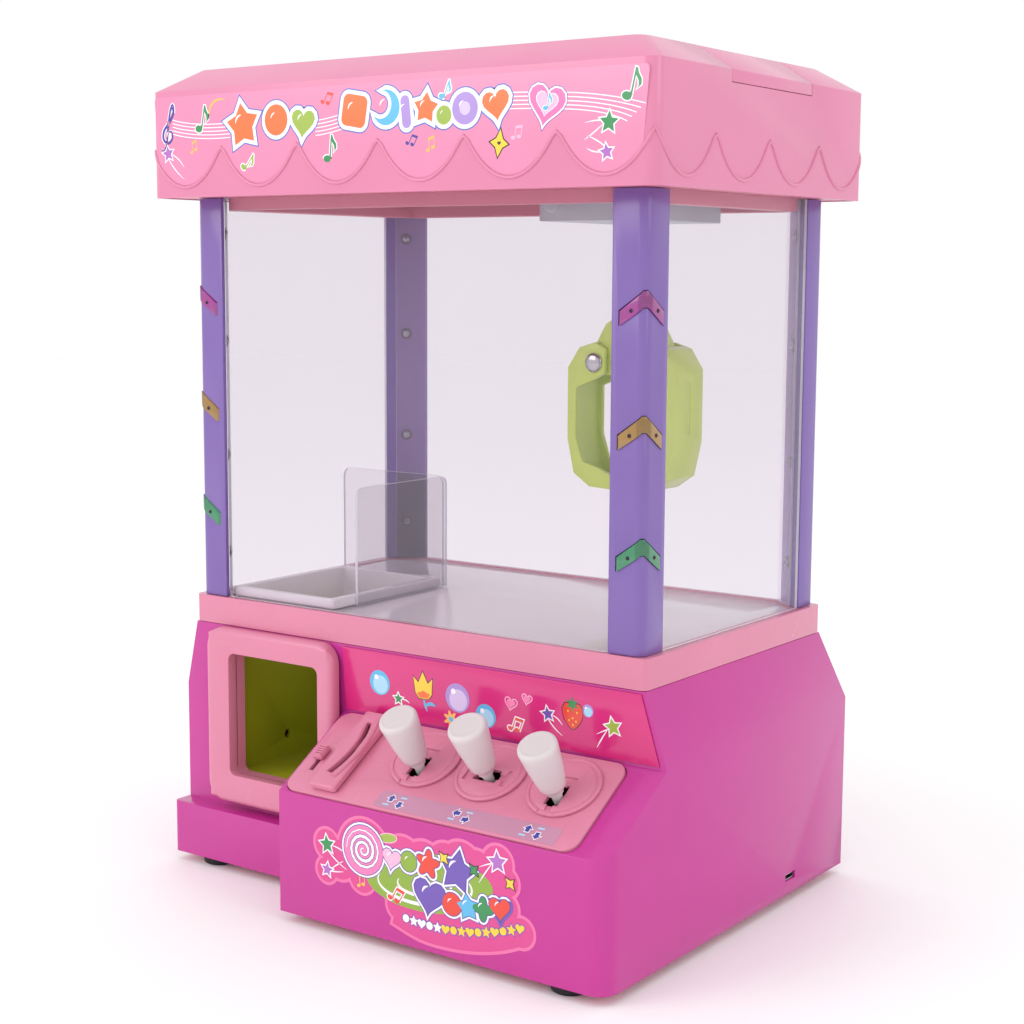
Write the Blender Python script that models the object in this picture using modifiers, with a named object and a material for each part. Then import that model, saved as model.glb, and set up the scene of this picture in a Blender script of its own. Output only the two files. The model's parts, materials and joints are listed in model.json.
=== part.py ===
"""Toy claw crane machine: each sub-part is its own solid, in metres, +Z up.

The origin is the middle of the footprint, on the surface that the machine stands on.
The front, with the levers and the prize door, faces -Y, and +X is to the right."""

import math

import bmesh
import bpy
from mathutils import Matrix, Vector

# ---- Driving dimensions ----
GAP = 0.0003                # clearance left between neighbouring solids
WALL = 0.0024               # wall of the moulded shells

CANOPY_X = 0.134            # half-width of the awning-like canopy
CANOPY_Y = (-0.0764, 0.1028)
CANOPY_Z = (0.3126, 0.3598)  # its vertical faces
ROOF_Z = 0.370
ROOF_INSET = (0.0159, 0.0149)  # how far the roof slopes come in, along X and Y
CANOPY_CORNER = 0.006

DECK_X = 0.1243
DECK_Y = (-0.0623, 0.0913)
DECK_Z = (0.1163, 0.1291)
DECK_CORNER = 0.003
DECK_HOLE_X, DECK_HOLE_Y = 0.1090, (-0.0562, 0.0800)

BASE_X = 0.1332
BASE_Y = (-0.0597, 0.1021)   # main box of the base, without console and ledge
BASE_Z = (0.0044, 0.0847, 0.1160)  # bottom edge, start of the sloping facets, top
BASE_TOP_X = 0.1240
BASE_TOP_Y = (-0.0620, 0.0910)

CONSOLE_X = (-0.0349, 0.1332)
CONSOLE_Y = -0.1027
CONSOLE_Z = 0.0583           # top of its upright front
CONSOLE_CORNER = 0.009
CONSOLE_BACK = -0.020        # how far its block runs into the base
LEDGE_Y = -0.0706
LEDGE_Z = 0.0290
LEDGE_CORNER = 0.003
LEDGE_REACH = 0.0200         # how far its block runs under the console

MOUTH_X, MOUTH_Y = 0.1150, (-0.0555, 0.0840)   # opening in the base's top
DOOR_X, DOOR_Z = (-0.1000, -0.0420), (0.0450, 0.1065)
PLATE_THICK = 0.0022         # bottom plate and battery cover
BATTERY_X, BATTERY_Y = (-0.0450, 0.0450), (0.0150, 0.0800)
BATTERY_CORNER = 0.003

PILLAR_X = 0.1215            # outer faces of the corner pillars
PILLAR_Y = (-0.0610, 0.0900)
PILLAR_LEG = 0.0160
PILLAR_LIP = 0.0019          # width of a leg's edge, before the inner chamfer
PILLAR_WALL = 0.0020
PILLAR_CORNER = 0.0045
PILLAR_Z = (0.1294, 0.3127)

SHEET = 0.0012               # clear window sheet
FLANGE = 0.0122              # run of its bent edges, along X and along Y

FLOOR_X = 0.1172
FLOOR_Y = (-0.0570, 0.0860)
FLOOR_CHAMFER = 0.0135
FLOOR_TOP = 0.1288
FLOOR_THICK = 0.0020

CHUTE_X = (-0.1060, -0.0433)  # raised rim of the prize chute
CHUTE_Y = (-0.0566, 0.0225)
CHUTE_RIM_Z = (0.1294, 0.1338)
CHUTE_DUCT_X = (-0.1040, -0.0460)
CHUTE_DUCT_Y = (-0.0550, 0.0200)
CHUTE_WALL = 0.0020
CHUTE_FOOT = 0.1136

FENCE = 0.0015
FENCE_TOP = 0.1830
FENCE_FRONT = -0.0420
FENCE_CORNER = 0.004

PRIZE_X = (-0.1050, -0.0440)
PRIZE_Y = (-0.0569, 0.0220)
PRIZE_Z = (0.0436, 0.1132)
PRIZE_WALL = 0.0020
PRIZE_HOLE = (0.0022, -0.0230, 0.0565)  # radius, Y and Z of the hole in its left wall

BEZEL_X = (-0.1135, -0.0353)
BEZEL_Z = (0.0325, 0.1158)
BEZEL_Y = (-0.0680, -0.0623)
BEZEL_HOLE_X = (-0.0984, -0.0436)
BEZEL_HOLE_Z = (0.0466, 0.1045)
BEZEL_CORNERS = (0.0095, 0.0030)

PANEL_X = (-0.0333, 0.1170)   # control panel, in the sloping plane of the console
PANEL_S = (0.0010, 0.0495)
PANEL_H = (-0.0011, 0.0012)
PANEL_CORNER = 0.006
PANEL_SINK = 0.0003          # depth of its seat, beyond the gap
WELL_X, WELL_S, WELL_H = (-0.0290, 0.1110), (0.0070, 0.0450), (-0.0080, 0.0050)  # opening under it
ART_X = (-0.0330, 0.1302, 0.1225)   # left edge, right edge at the foot and at the top
ART_EDGE = (0.0016, 0.0010)         # margins at the foot and at the top
ART_THICK = 0.0006
DISC_RADIUS = 0.0160
DISC_THICK = 0.0016
DISC_S = 0.0310
LEVER_X = (0.0260, 0.0600, 0.0962)
LEVER_S = (0.0260, 0.0285, 0.0255)
LEVER_PIVOT_H = -0.0090
LEVER_TOP_H = 0.0312
STEM_RADIUS = 0.0023
STEM_TOP_H = 0.0180
STEM_FOOT = 0.0035           # below the pivot
CROSS_PIN = (0.0015, 0.0060)  # radius and half-length
LEVER_HOLE_X, LEVER_HOLE_S = 0.0060, (0.0180, 0.0420)
THROAT = (0.0034, 0.0056)    # half-sizes of a disc's opening, across and along the tilt
SLIT = (0.0009, 0.0110)
GRIP_FOOT, GRIP_ROOF = 0.0140, 0.0275   # above the pivot

COIN_X = -0.0128
COIN_BLOCK = ((-0.0185, -0.0045), (0.0035, 0.0492))
COIN_TALL = 0.0034
COIN_S = (0.0120, 0.0430)    # ends of the curved slot
COIN_BOW, COIN_HALF = 0.0032, 0.0013
COIN_HOLE = ((-0.0150, -0.0070), (0.0120, 0.0430))   # opening in the panel
CHANNEL = ((-0.0165, -0.0055), (0.0105, 0.0445))
CHANNEL_WALL = 0.0020
CHANNEL_FOOT = -0.0180

SWITCH_X, SWITCH_S = -0.0262, 0.0228
SWITCH_HALF = (0.0026, 0.0036)
SWITCH_TALL = 0.0024
SWITCH_STEM = (0.0008, 0.0020)
SWITCH_SLOT = (0.0011, (0.0135, 0.0265))

CLAW_X, CLAW_Y = 0.0610, 0.0285   # where the claw hangs at rest
HOUSING_X = (-0.0300, 0.0240)     # from the claw's middle
HOUSING_Y = (-0.0325, 0.0325)
HOUSING_Z = (0.3022, 0.3345)
HOUSING_WALL = 0.0018
CORD_MOUTH = (0.0050, 0.0028)
BOSS = (0.0042, 0.0070, 0.0080, 0.0012)  # radius, place from the low front corner, and how proud
MOTOR_RADIUS, MOTOR_X = 0.0072, (-0.0150, 0.0110)
MOTOR_Y, MOTOR_Z = 0.0220, 0.0012        # from the claw's middle and the drum's axis
BEAM_Z = (0.3222, 0.3300)
BEAM_HALF = 0.0060
BEAM_END = 0.1200
SHOE_HALF, SHOE_INNER = 0.0140, 0.0025
RAIL_X = (0.1120, 0.1170)
RAIL_Z = (0.3153, 0.3203)
RAIL_Y = (-0.0660, 0.0940)
LINER_Z = (0.3130, 0.3150)
LINER_HOLE_X = 0.1080
LINER_HOLE_Y = (-0.0500, 0.0790)
LINER_DROP = 0.3075
SKIRT_X, SKIRT_Y, SKIRT_CHAMFER = 0.1170, (-0.0566, 0.0856), 0.0125

JAW_PIVOT = (0.0140, 0.2404)      # X from the claw's middle, and Z
JAW_BORE = 0.0023
PIN_RADIUS, PIN_HALF = 0.0020, 0.0130
CHEEK = (0.0096, 0.0120)          # inner and outer faces of a jaw's cheeks, from its middle
HEAD_HALF = 0.0092
HEAD_OUTLINE = (
    (-0.0170, 0.2350), (0.0170, 0.2350), (0.0170, 0.2450), (0.0100, 0.2575), (0.0060, 0.2600),
    (-0.0060, 0.2600), (-0.0100, 0.2575), (-0.0170, 0.2450))
JAW_OUTLINE = (
    (0.0085, 0.2470), (0.0140, 0.2495), (0.0220, 0.2470), (0.0280, 0.2380), (0.0280, 0.2060),
    (0.0245, 0.1905), (0.0160, 0.1848), (0.0022, 0.1842), (0.0022, 0.1895), (0.0120, 0.1935),
    (0.0200, 0.1960), (0.0236, 0.2070), (0.0236, 0.2290), (0.0140, 0.2330), (0.0085, 0.2360))
SCOOP_OUTLINE = (
    (-0.0020, 0.2560), (0.0120, 0.2560), (0.0207, 0.2450), (0.0256, 0.2374), (0.0256, 0.2063),
    (0.0223, 0.1918), (0.0153, 0.1872), (-0.0020, 0.1866))
DRUM_RADIUS = 0.0050
DRUM_Z = 0.3115
STRAND_X = 0.0028
STRAND_RADIUS = 0.0009

LID_Y = (-0.0200, 0.0500)
LID_THICK = 0.0022
LID_HINGE_X = 0.0411
LID_LIP_Z = 0.3550
LID_CLEARANCE = 0.0016       # between the hatch's edge and the hinge's axis

FOOT_RADIUS = 0.0080
FOOT_TOP = 0.0041
FEET = {"front_left": (-0.1130, -0.0600), "front_right": (0.1100, -0.0920),
        "rear_left": (-0.1130, 0.0900), "rear_right": (0.1130, 0.0900)}

LAMP_TOPS = (0.2733, 0.2247, 0.1763)   # apex heights of the chevron lamps
LAMP_HALF = 0.0088
LAMP_BAND = 0.0064
LAMP_DROP = 0.0079
LAMP_BLUNT = 0.0008
LAMP_REACH = (-0.0060, 0.0125)          # cutting depth out from and in from the corner, on its diagonal
LAMP_PROUD, LAMP_DEEP = 0.0006, 0.0009

USB_Y, USB_Z = 0.0500, 0.0122
USB_HALF = (0.0043, 0.0014)
USB_WALL = 0.0005
USB_DEPTH, USB_PROUD = 0.0070, 0.0016
BOARD_LOW, BOARD_HIGH = (0.0500, 0.0300, 0.0200), (0.1200, 0.0850, 0.0216)
SPEAKER_X, SPEAKER_Z = -0.0600, 0.0480
SPEAKER_PROFILE = ((0.0, 0.0), (0.0190, 0.0), (0.0190, -0.0030), (0.0120, -0.0070), (0.0120, -0.0110),
                   (0.0, -0.0110))
GRILLE_ROWS = (2, 3, 2)
GRILLE_PITCH = (0.009, 0.008)
GRILLE_HOLE = 0.0022

CURVE_STEPS = 8              # segments in a large round corner


# ---- Scene and materials ----

def clear_scene():
    for obj in list(bpy.data.objects):
        bpy.data.objects.remove(obj, do_unlink=True)


def new_collection(name):
    made = bpy.data.collections.new(name)
    bpy.context.scene.collection.children.link(made)
    return made


def material(name, colour, roughness, metallic=0.0):
    made = bpy.data.materials.new(name)
    made.use_nodes = True
    shader = made.node_tree.nodes["Principled BSDF"]
    shader.inputs["Base Color"].default_value = (*colour, 1.0)
    shader.inputs["Roughness"].default_value = roughness
    shader.inputs["Metallic"].default_value = metallic
    return made


def add(name, mesh, finish, parent=None):
    """Links a mesh as one sub-part, with its material."""
    obj = bpy.data.objects.new(name, mesh)
    mesh.name = name
    mesh.materials.append(finish)
    PARTS.objects.link(obj)
    obj.parent = parent
    return obj


def as_cutter(name, mesh, parent=None):
    obj = bpy.data.objects.new("cut_" + name, mesh)
    CUTTERS.objects.link(obj)
    obj.hide_render = True
    obj.display_type = "WIRE"
    obj.parent = parent
    return obj


# ---- Mesh makers ----

def box_mesh(low, high):
    """A block between two opposite corners."""
    bm = bmesh.new()
    size = [b - a for a, b in zip(low, high)]
    middle = [(a + b) / 2 for a, b in zip(low, high)]
    place = Matrix.Translation(middle) @ Matrix.Diagonal((*size, 1.0))
    bmesh.ops.create_cube(bm, size=1.0, matrix=place)
    mesh = bpy.data.meshes.new("block")
    bm.to_mesh(mesh)
    bm.free()
    return mesh


def rod_mesh(radius, start, end, sides=16):
    """A round bar from one point to another."""
    start, end = Vector(start), Vector(end)
    along = end - start
    turn = Vector((0, 0, 1)).rotation_difference(along).to_matrix().to_4x4()
    bm = bmesh.new()
    bmesh.ops.create_cone(
        bm, cap_ends=True, segments=sides, radius1=radius, radius2=radius,
        depth=along.length, matrix=Matrix.Translation((start + end) / 2) @ turn,
    )
    mesh = bpy.data.meshes.new("rod")
    bm.to_mesh(mesh)
    bm.free()
    mesh.shade_smooth()
    mesh.set_sharp_from_angle(angle=math.radians(40))
    return mesh


AXES = {
    "Z": Matrix.Identity(4),
    "Y": Matrix(((1, 0, 0, 0), (0, 0, -1, 0), (0, 1, 0, 0), (0, 0, 0, 1))),
    "X": Matrix(((0, 0, 1, 0), (1, 0, 0, 0), (0, 1, 0, 0), (0, 0, 0, 1))),
}


def slab_mesh(outlines, span, axis="Z"):
    """Flat outlines, the first one solid and the rest holes in it, given depth along an axis.

    The outline's two numbers are (x, y) for Z, (x, z) for Y and (y, z) for X."""
    curve = bpy.data.curves.new("outline", "CURVE")
    curve.dimensions = "2D"
    curve.fill_mode = "BOTH"
    curve.extrude = (span[1] - span[0]) / 2
    for outline in outlines:
        spline = curve.splines.new("POLY")
        spline.points.add(len(outline) - 1)
        spline.use_cyclic_u = True
        for point, (u, v) in zip(spline.points, outline):
            point.co = (u, v, 0.0, 1.0)
    shape = bpy.data.objects.new("outline", curve)
    bpy.context.scene.collection.objects.link(shape)
    graph = bpy.context.evaluated_depsgraph_get()
    mesh = bpy.data.meshes.new_from_object(shape.evaluated_get(graph))
    bpy.data.objects.remove(shape, do_unlink=True)
    mesh.materials.clear()
    bm = bmesh.new()
    bm.from_mesh(mesh)
    bmesh.ops.remove_doubles(bm, verts=bm.verts, dist=0.000001)
    middle = (span[0] + span[1]) / 2
    offset = {"Z": (0, 0, middle), "Y": (0, middle, 0), "X": (middle, 0, 0)}[axis]
    bmesh.ops.transform(bm, matrix=Matrix.Translation(offset) @ AXES[axis], verts=bm.verts)
    bmesh.ops.recalc_face_normals(bm, faces=bm.faces)
    bm.to_mesh(mesh)
    bm.free()
    return mesh


def loft_mesh(rings):
    """A skin over a stack of rings that have the same number of points, closed at both ends."""
    bm = bmesh.new()
    rows = [[bm.verts.new(point) for point in ring] for ring in rings]
    count = len(rows[0])
    for lower, upper in zip(rows, rows[1:]):
        for i in range(count):
            j = (i + 1) % count
            bm.faces.new((lower[i], lower[j], upper[j], upper[i]))
    bm.faces.new(list(reversed(rows[0])))
    bm.faces.new(rows[-1])
    bmesh.ops.recalc_face_normals(bm, faces=bm.faces)
    mesh = bpy.data.meshes.new("loft")
    bm.to_mesh(mesh)
    bm.free()
    return mesh


def profile_mesh(profile):
    """The (radius, height) points of a turned shape, as edges in the XZ plane."""
    bm = bmesh.new()
    verts = [bm.verts.new((radius, 0.0, height)) for radius, height in profile]
    for a, b in zip(verts, verts[1:]):
        bm.edges.new((a, b))
    mesh = bpy.data.meshes.new("profile")
    bm.to_mesh(mesh)
    bm.free()
    return mesh


# ---- Modifiers and small helpers ----

def turn(obj, steps=20):
    screw = obj.modifiers.new("turn", "SCREW")
    screw.steps = screw.render_steps = steps
    screw.use_merge_vertices = True
    screw.merge_threshold = 0.00001
    screw.use_smooth_shade = True


def boolean(obj, other, operation="DIFFERENCE"):
    step = obj.modifiers.new(operation.lower(), "BOOLEAN")
    step.operation = operation
    step.object = other
    step.solver = "EXACT"


def bevel(obj, width, segments=2, angle=50):
    step = obj.modifiers.new("bevel", "BEVEL")
    step.width = width
    step.segments = segments
    step.limit_method = "ANGLE"
    step.angle_limit = math.radians(angle)


def set_pivot(obj, point):
    """Puts the object's origin on its joint's axis, without moving its mesh."""
    point = Vector(point)
    obj.data.transform(Matrix.Translation(-point))
    obj.location = point


def arc(centre, radius, start, end, steps=4):
    """Points on an arc, by its angles in degrees."""
    points = []
    for i in range(steps + 1):
        angle = math.radians(start + (end - start) * i / steps)
        points.append((centre[0] + radius * math.cos(angle), centre[1] + radius * math.sin(angle)))
    return points


def rounded(x, y, radius, steps=4):
    """A rectangle between two x and two y, with round corners, counter-clockwise."""
    points = []
    corners = ((x[1], y[0], -90), (x[1], y[1], 0), (x[0], y[1], 90), (x[0], y[0], 180))
    for cx, cy, start in corners:
        inner = (cx - radius * (1 if cx == x[1] else -1), cy - radius * (1 if cy == y[1] else -1))
        points += arc(inner, radius, start, start + 90, steps)
    return points


def rectangle(x, y):
    return [(x[0], y[0]), (x[1], y[0]), (x[1], y[1]), (x[0], y[1])]


def chamfered(half_x, y, cut):
    """A rectangle with its four corners cut at 45 degrees."""
    return [
        (half_x - cut, y[0]), (half_x, y[0] + cut), (half_x, y[1] - cut), (half_x - cut, y[1]),
        (cut - half_x, y[1]), (-half_x, y[1] - cut), (-half_x, y[0] + cut), (cut - half_x, y[0]),
    ]


def grow(span, by):
    return (span[0] - by, span[1] + by)


def at_height(points, z):
    return [(x, y, z) for x, y in points]


# ---- Base ----

def slope_frame():
    """An empty in the console's sloping plane: its Y runs up the slope, its Z points out."""
    empty = bpy.data.objects.new("console_slope", None)
    PARTS.objects.link(empty)
    rise = BASE_Z[1] - CONSOLE_Z
    run = BASE_Y[0] - CONSOLE_Y
    empty.location = (0.0, CONSOLE_Y, CONSOLE_Z)
    empty.rotation_euler = (math.atan2(rise, run), 0.0, 0.0)
    return empty


def art_frame():
    """An empty in the upright face above the console: its Y runs up the face, its Z points out."""
    empty = bpy.data.objects.new("art_face", None)
    PARTS.objects.link(empty)
    rise = BASE_Z[2] - BASE_Z[1]
    lean = BASE_TOP_Y[0] - BASE_Y[0]
    empty.location = (0.0, BASE_Y[0], BASE_Z[1])
    empty.rotation_euler = (math.atan2(rise, lean), 0.0, 0.0)
    return empty


def console_plan(inset):
    """The console from above: its right front corner is round and its left one sharp."""
    left, right, front = CONSOLE_X[0] + inset, CONSOLE_X[1] - inset, CONSOLE_Y + inset
    radius = CONSOLE_CORNER - inset
    rear = CONSOLE_BACK + 0.050
    corner = arc((right - radius, front + radius), radius, -90, 0, CURVE_STEPS)
    return [(left, front)] + corner + [(right, rear), (left, rear)]


def base_shell():
    bottom, shoulder, top = BASE_Z
    across = [(-BASE_X, bottom), (BASE_X, bottom), (BASE_X, shoulder),
              (BASE_TOP_X, top), (-BASE_TOP_X, top), (-BASE_X, shoulder)]
    along = [(BASE_Y[0], bottom), (BASE_Y[1], bottom), (BASE_Y[1], shoulder),
             (BASE_TOP_Y[1], top), (BASE_TOP_Y[0], top), (BASE_Y[0], shoulder)]
    shell = add("base_shell", slab_mesh([across], (-0.11, 0.12), "Y"), MAGENTA)
    boolean(shell, as_cutter("base_along", slab_mesh([along], (-0.15, 0.15), "X")), "INTERSECT")

    back = CONSOLE_BACK
    console = [(CONSOLE_Y, bottom), (back, bottom), (back, shoulder), (BASE_Y[0], shoulder),
               (CONSOLE_Y, CONSOLE_Z)]
    block = as_cutter("console", slab_mesh([console], CONSOLE_X, "X"))
    plan = console_plan(0.0)
    boolean(block, as_cutter("console_plan", slab_mesh([plan], (0.0, 0.10))), "INTERSECT")
    boolean(shell, block, "UNION")

    ledge = rounded((-BASE_X, CONSOLE_X[0] + LEDGE_REACH), (LEDGE_Y, LEDGE_REACH), LEDGE_CORNER)
    boolean(shell, as_cutter("ledge", slab_mesh([ledge], (bottom, LEDGE_Z))), "UNION")

    inner_across = [(WALL - BASE_X, 0.0), (BASE_X - WALL, 0.0), (BASE_X - WALL, shoulder),
                    (BASE_TOP_X - WALL, top - WALL), (WALL - BASE_TOP_X, top - WALL),
                    (WALL - BASE_X, shoulder)]
    inner_along = [(BASE_Y[0] + WALL, 0.0), (BASE_Y[1] - WALL, 0.0), (BASE_Y[1] - WALL, shoulder),
                   (BASE_TOP_Y[1] - WALL, top - WALL), (BASE_TOP_Y[0] + WALL, top - WALL),
                   (BASE_Y[0] + WALL, shoulder)]
    hollow = as_cutter("base_hollow", slab_mesh([inner_across], (-0.11, 0.12), "Y"))
    core = as_cutter("base_core", slab_mesh([inner_along], (-0.15, 0.15), "X"))
    boolean(hollow, core, "INTERSECT")
    boolean(shell, hollow)

    slope = math.tan(SLOPE.rotation_euler.x)
    sunk = WALL / math.cos(SLOPE.rotation_euler.x)
    front = CONSOLE_Y + WALL
    inner_console = [
        (front, 0.0), (back, 0.0), (back, BASE_Z[1] - WALL),
        (BASE_Y[0], BASE_Z[1] - sunk), (front, CONSOLE_Z + WALL * slope - sunk),
    ]
    inside = (CONSOLE_X[0] + WALL, CONSOLE_X[1] - WALL)
    room = as_cutter("console_room", slab_mesh([inner_console], inside, "X"))
    plan = console_plan(WALL)
    boolean(room, as_cutter("console_room_plan", slab_mesh([plan], (-0.01, 0.10))), "INTERSECT")
    boolean(shell, room)
    low_room = box_mesh((WALL - BASE_X, LEDGE_Y + WALL, 0.0),
                        (CONSOLE_X[0] + LEDGE_REACH / 2, 0.0, LEDGE_Z - WALL))
    boolean(shell, as_cutter("ledge_room", low_room))

    mouth = box_mesh((-MOUTH_X, MOUTH_Y[0], top - 2 * WALL), (MOUTH_X, MOUTH_Y[1], top + WALL))
    boolean(shell, as_cutter("base_mouth", mouth))
    door = box_mesh((DOOR_X[0], LEDGE_Y - WALL, DOOR_Z[0]), (DOOR_X[1], LEDGE_Y + 0.030, DOOR_Z[1]))
    boolean(shell, as_cutter("prize_door", door))
    seat_plan = rounded(grow(PANEL_X, GAP), grow(PANEL_S, GAP), PANEL_CORNER)
    seat = slab_mesh([seat_plan], (PANEL_H[0] - PANEL_SINK, 0.01))
    boolean(shell, as_cutter("panel_seat", seat, SLOPE))
    boolean(shell, as_cutter("panel_well", box_mesh(*zip(WELL_X, WELL_S, WELL_H)), SLOPE))
    reach = [half + GAP for half in USB_HALF]
    port = box_mesh((BASE_X - 2 * WALL, USB_Y - reach[0], USB_Z - reach[1]),
                    (BASE_X + WALL, USB_Y + reach[0], USB_Z + reach[1]))
    boolean(shell, as_cutter("usb_port", port))
    for row, count in enumerate(GRILLE_ROWS):
        for i in range(count):
            x = SPEAKER_X + (i - (count - 1) / 2) * GRILLE_PITCH[0]
            z = SPEAKER_Z + (row - 1) * GRILLE_PITCH[1]
            hole = rod_mesh(GRILLE_HOLE, (x, BASE_Y[1] - 2 * WALL, z), (x, BASE_Y[1] + WALL, z), 8)
            boolean(shell, as_cutter("grille", hole))


def underside():
    edge = WALL + GAP
    low_y = LEDGE_Y + edge
    console_left = CONSOLE_X[0] + edge
    right, front, rear = BASE_X - edge, CONSOLE_Y + edge, BASE_Y[1] - edge
    radius = CONSOLE_CORNER - WALL
    outline = [(-right, low_y), (console_left, low_y), (console_left, front)]
    outline += arc((right - radius, front + radius), radius, -90, 0, CURVE_STEPS)
    outline += [(right, rear), (-right, rear)]
    level = (BASE_Z[0], BASE_Z[0] + PLATE_THICK)
    add("bottom_plate", slab_mesh([outline, rectangle(BATTERY_X, BATTERY_Y)], level), DARK_PINK)
    inset = rounded(grow(BATTERY_X, -GAP), grow(BATTERY_Y, -GAP), BATTERY_CORNER, 2)
    add("battery_cover", slab_mesh([inset], level), MAGENTA)
    for corner, (x, y) in FEET.items():
        add("foot_" + corner, rod_mesh(FOOT_RADIUS, (x, y, 0.0), (x, y, FOOT_TOP)), BLACK)


def electrics():
    x = BASE_X - WALL
    wide, tall = USB_HALF
    shell = add("usb_socket", box_mesh((x - USB_DEPTH, USB_Y - wide, USB_Z - tall),
                                       (x + USB_PROUD, USB_Y + wide, USB_Z + tall)), STEEL)
    wide, tall = wide - USB_WALL, tall - USB_WALL
    throat = box_mesh((x - USB_DEPTH + 4 * USB_WALL, USB_Y - wide, USB_Z - tall),
                      (x + 2 * USB_DEPTH, USB_Y + wide, USB_Z + tall))
    boolean(shell, as_cutter("usb_throat", throat))
    add("circuit_board", box_mesh(BOARD_LOW, BOARD_HIGH), GREEN_BOARD)
    back = BASE_Y[1] - WALL - GAP
    speaker = add("speaker", profile_mesh(SPEAKER_PROFILE), BLACK)
    turn(speaker)
    speaker.location = (SPEAKER_X, back, SPEAKER_Z)
    speaker.rotation_euler = (-math.pi / 2, 0.0, 0.0)


# ---- Deck, floor and prize parts ----

def deck():
    outer = rounded((-DECK_X, DECK_X), DECK_Y, DECK_CORNER, 3)
    opening = rectangle((-DECK_HOLE_X, DECK_HOLE_X), DECK_HOLE_Y)
    frame = add("deck_frame", slab_mesh([outer, opening], DECK_Z), PINK)
    seat_z = (FLOOR_TOP - FLOOR_THICK - GAP, DECK_Z[1] + WALL)
    seat = chamfered(FLOOR_X + GAP, grow(FLOOR_Y, GAP), FLOOR_CHAMFER)
    boolean(frame, as_cutter("floor_seat", slab_mesh([seat], seat_z)))
    bevel(frame, 0.0008, 1, 80)

    duct = rectangle(grow(CHUTE_DUCT_X, GAP), grow(CHUTE_DUCT_Y, GAP))
    floor = slab_mesh([chamfered(FLOOR_X, FLOOR_Y, FLOOR_CHAMFER), duct], (FLOOR_TOP - FLOOR_THICK, FLOOR_TOP))
    add("play_floor", floor, PALE)


def chute():
    hole = (grow(CHUTE_DUCT_X, -CHUTE_WALL), grow(CHUTE_DUCT_Y, -CHUTE_WALL))
    rim = add("prize_chute", slab_mesh([rounded(CHUTE_X, CHUTE_Y, 0.002, 2), rectangle(*hole)], CHUTE_RIM_Z), PALE)
    duct = slab_mesh([rectangle(CHUTE_DUCT_X, CHUTE_DUCT_Y), rectangle(*hole)],
                     (CHUTE_FOOT, CHUTE_RIM_Z[0] + CHUTE_WALL))
    boolean(rim, as_cutter("chute_duct", duct), "UNION")


def fence():
    foot, top = CHUTE_RIM_Z[0], FENCE_TOP
    side_x = (CHUTE_X[1] + GAP, CHUTE_X[1] + GAP + FENCE)
    rear_y = (CHUTE_Y[1] + GAP, CHUTE_Y[1] + GAP + FENCE)

    def plate(start, end):
        shape = [(start, foot), (end, foot)]
        shape += arc((end - FENCE_CORNER, top - FENCE_CORNER), FENCE_CORNER, 0, 90, 3)
        return shape + arc((start + FENCE_CORNER, top - FENCE_CORNER), FENCE_CORNER, 90, 180, 3)

    add("chute_fence_side", slab_mesh([plate(FENCE_FRONT, rear_y[1])], side_x, "X"), CLEAR)
    add("chute_fence_rear", slab_mesh([plate(CHUTE_X[0], CHUTE_X[1])], rear_y, "Y"), CLEAR)


def prize_box():
    tray = add("prize_box", box_mesh(*zip(PRIZE_X, PRIZE_Y, PRIZE_Z)), LIME)
    room = box_mesh((PRIZE_X[0] + PRIZE_WALL, PRIZE_Y[0] - 0.01, PRIZE_Z[0] + PRIZE_WALL),
                    (PRIZE_X[1] - PRIZE_WALL, PRIZE_Y[1] - PRIZE_WALL, PRIZE_Z[1] + 0.01))
    boolean(tray, as_cutter("prize_room", room))
    radius, y, z = PRIZE_HOLE
    hole = rod_mesh(radius, (PRIZE_X[0] - 0.005, y, z), (PRIZE_X[0] + 0.005, y, z), 12)
    boolean(tray, as_cutter("prize_hole", hole))
    outer = rounded(BEZEL_X, BEZEL_Z, BEZEL_CORNERS[0], 5)
    inner = rounded(BEZEL_HOLE_X, BEZEL_HOLE_Z, BEZEL_CORNERS[1], 3)
    bezel = add("prize_bezel", slab_mesh([outer, inner], BEZEL_Y, "Y"), PINK)
    bevel(bezel, 0.0016, 2, 60)


# ---- Control panel, on the console's slope ----

def control_panel():
    holes = [rectangle((x - LEVER_HOLE_X, x + LEVER_HOLE_X), LEVER_HOLE_S) for x in LEVER_X]
    holes.append(rectangle(*COIN_HOLE))
    holes.append(rectangle((SWITCH_X - SWITCH_SLOT[0], SWITCH_X + SWITCH_SLOT[0]), SWITCH_SLOT[1]))
    outline = rounded(PANEL_X, PANEL_S, PANEL_CORNER)
    add("control_panel", slab_mesh([outline] + holes, PANEL_H), PINK, SLOPE)

    low = PANEL_H[1] + GAP
    for side, x, s in zip(("left", "middle", "right"), LEVER_X, LEVER_S):
        rim = arc((x, DISC_S), DISC_RADIUS, 0, 345, 23)
        half, slit = (THROAT, SLIT) if side != "middle" else (THROAT[::-1], SLIT[::-1])
        throat = rectangle((x - half[0], x + half[0]), (s - half[1], s + half[1]))
        disc = add("guide_disc_" + side, slab_mesh([rim, throat], (low, low + DISC_THICK)), PINK, SLOPE)
        cut = box_mesh((x - slit[0], s - slit[1], low - DISC_THICK),
                       (x + slit[0], s + slit[1], low + 2 * DISC_THICK))
        boolean(disc, as_cutter("guide_slit", cut, SLOPE))


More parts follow.
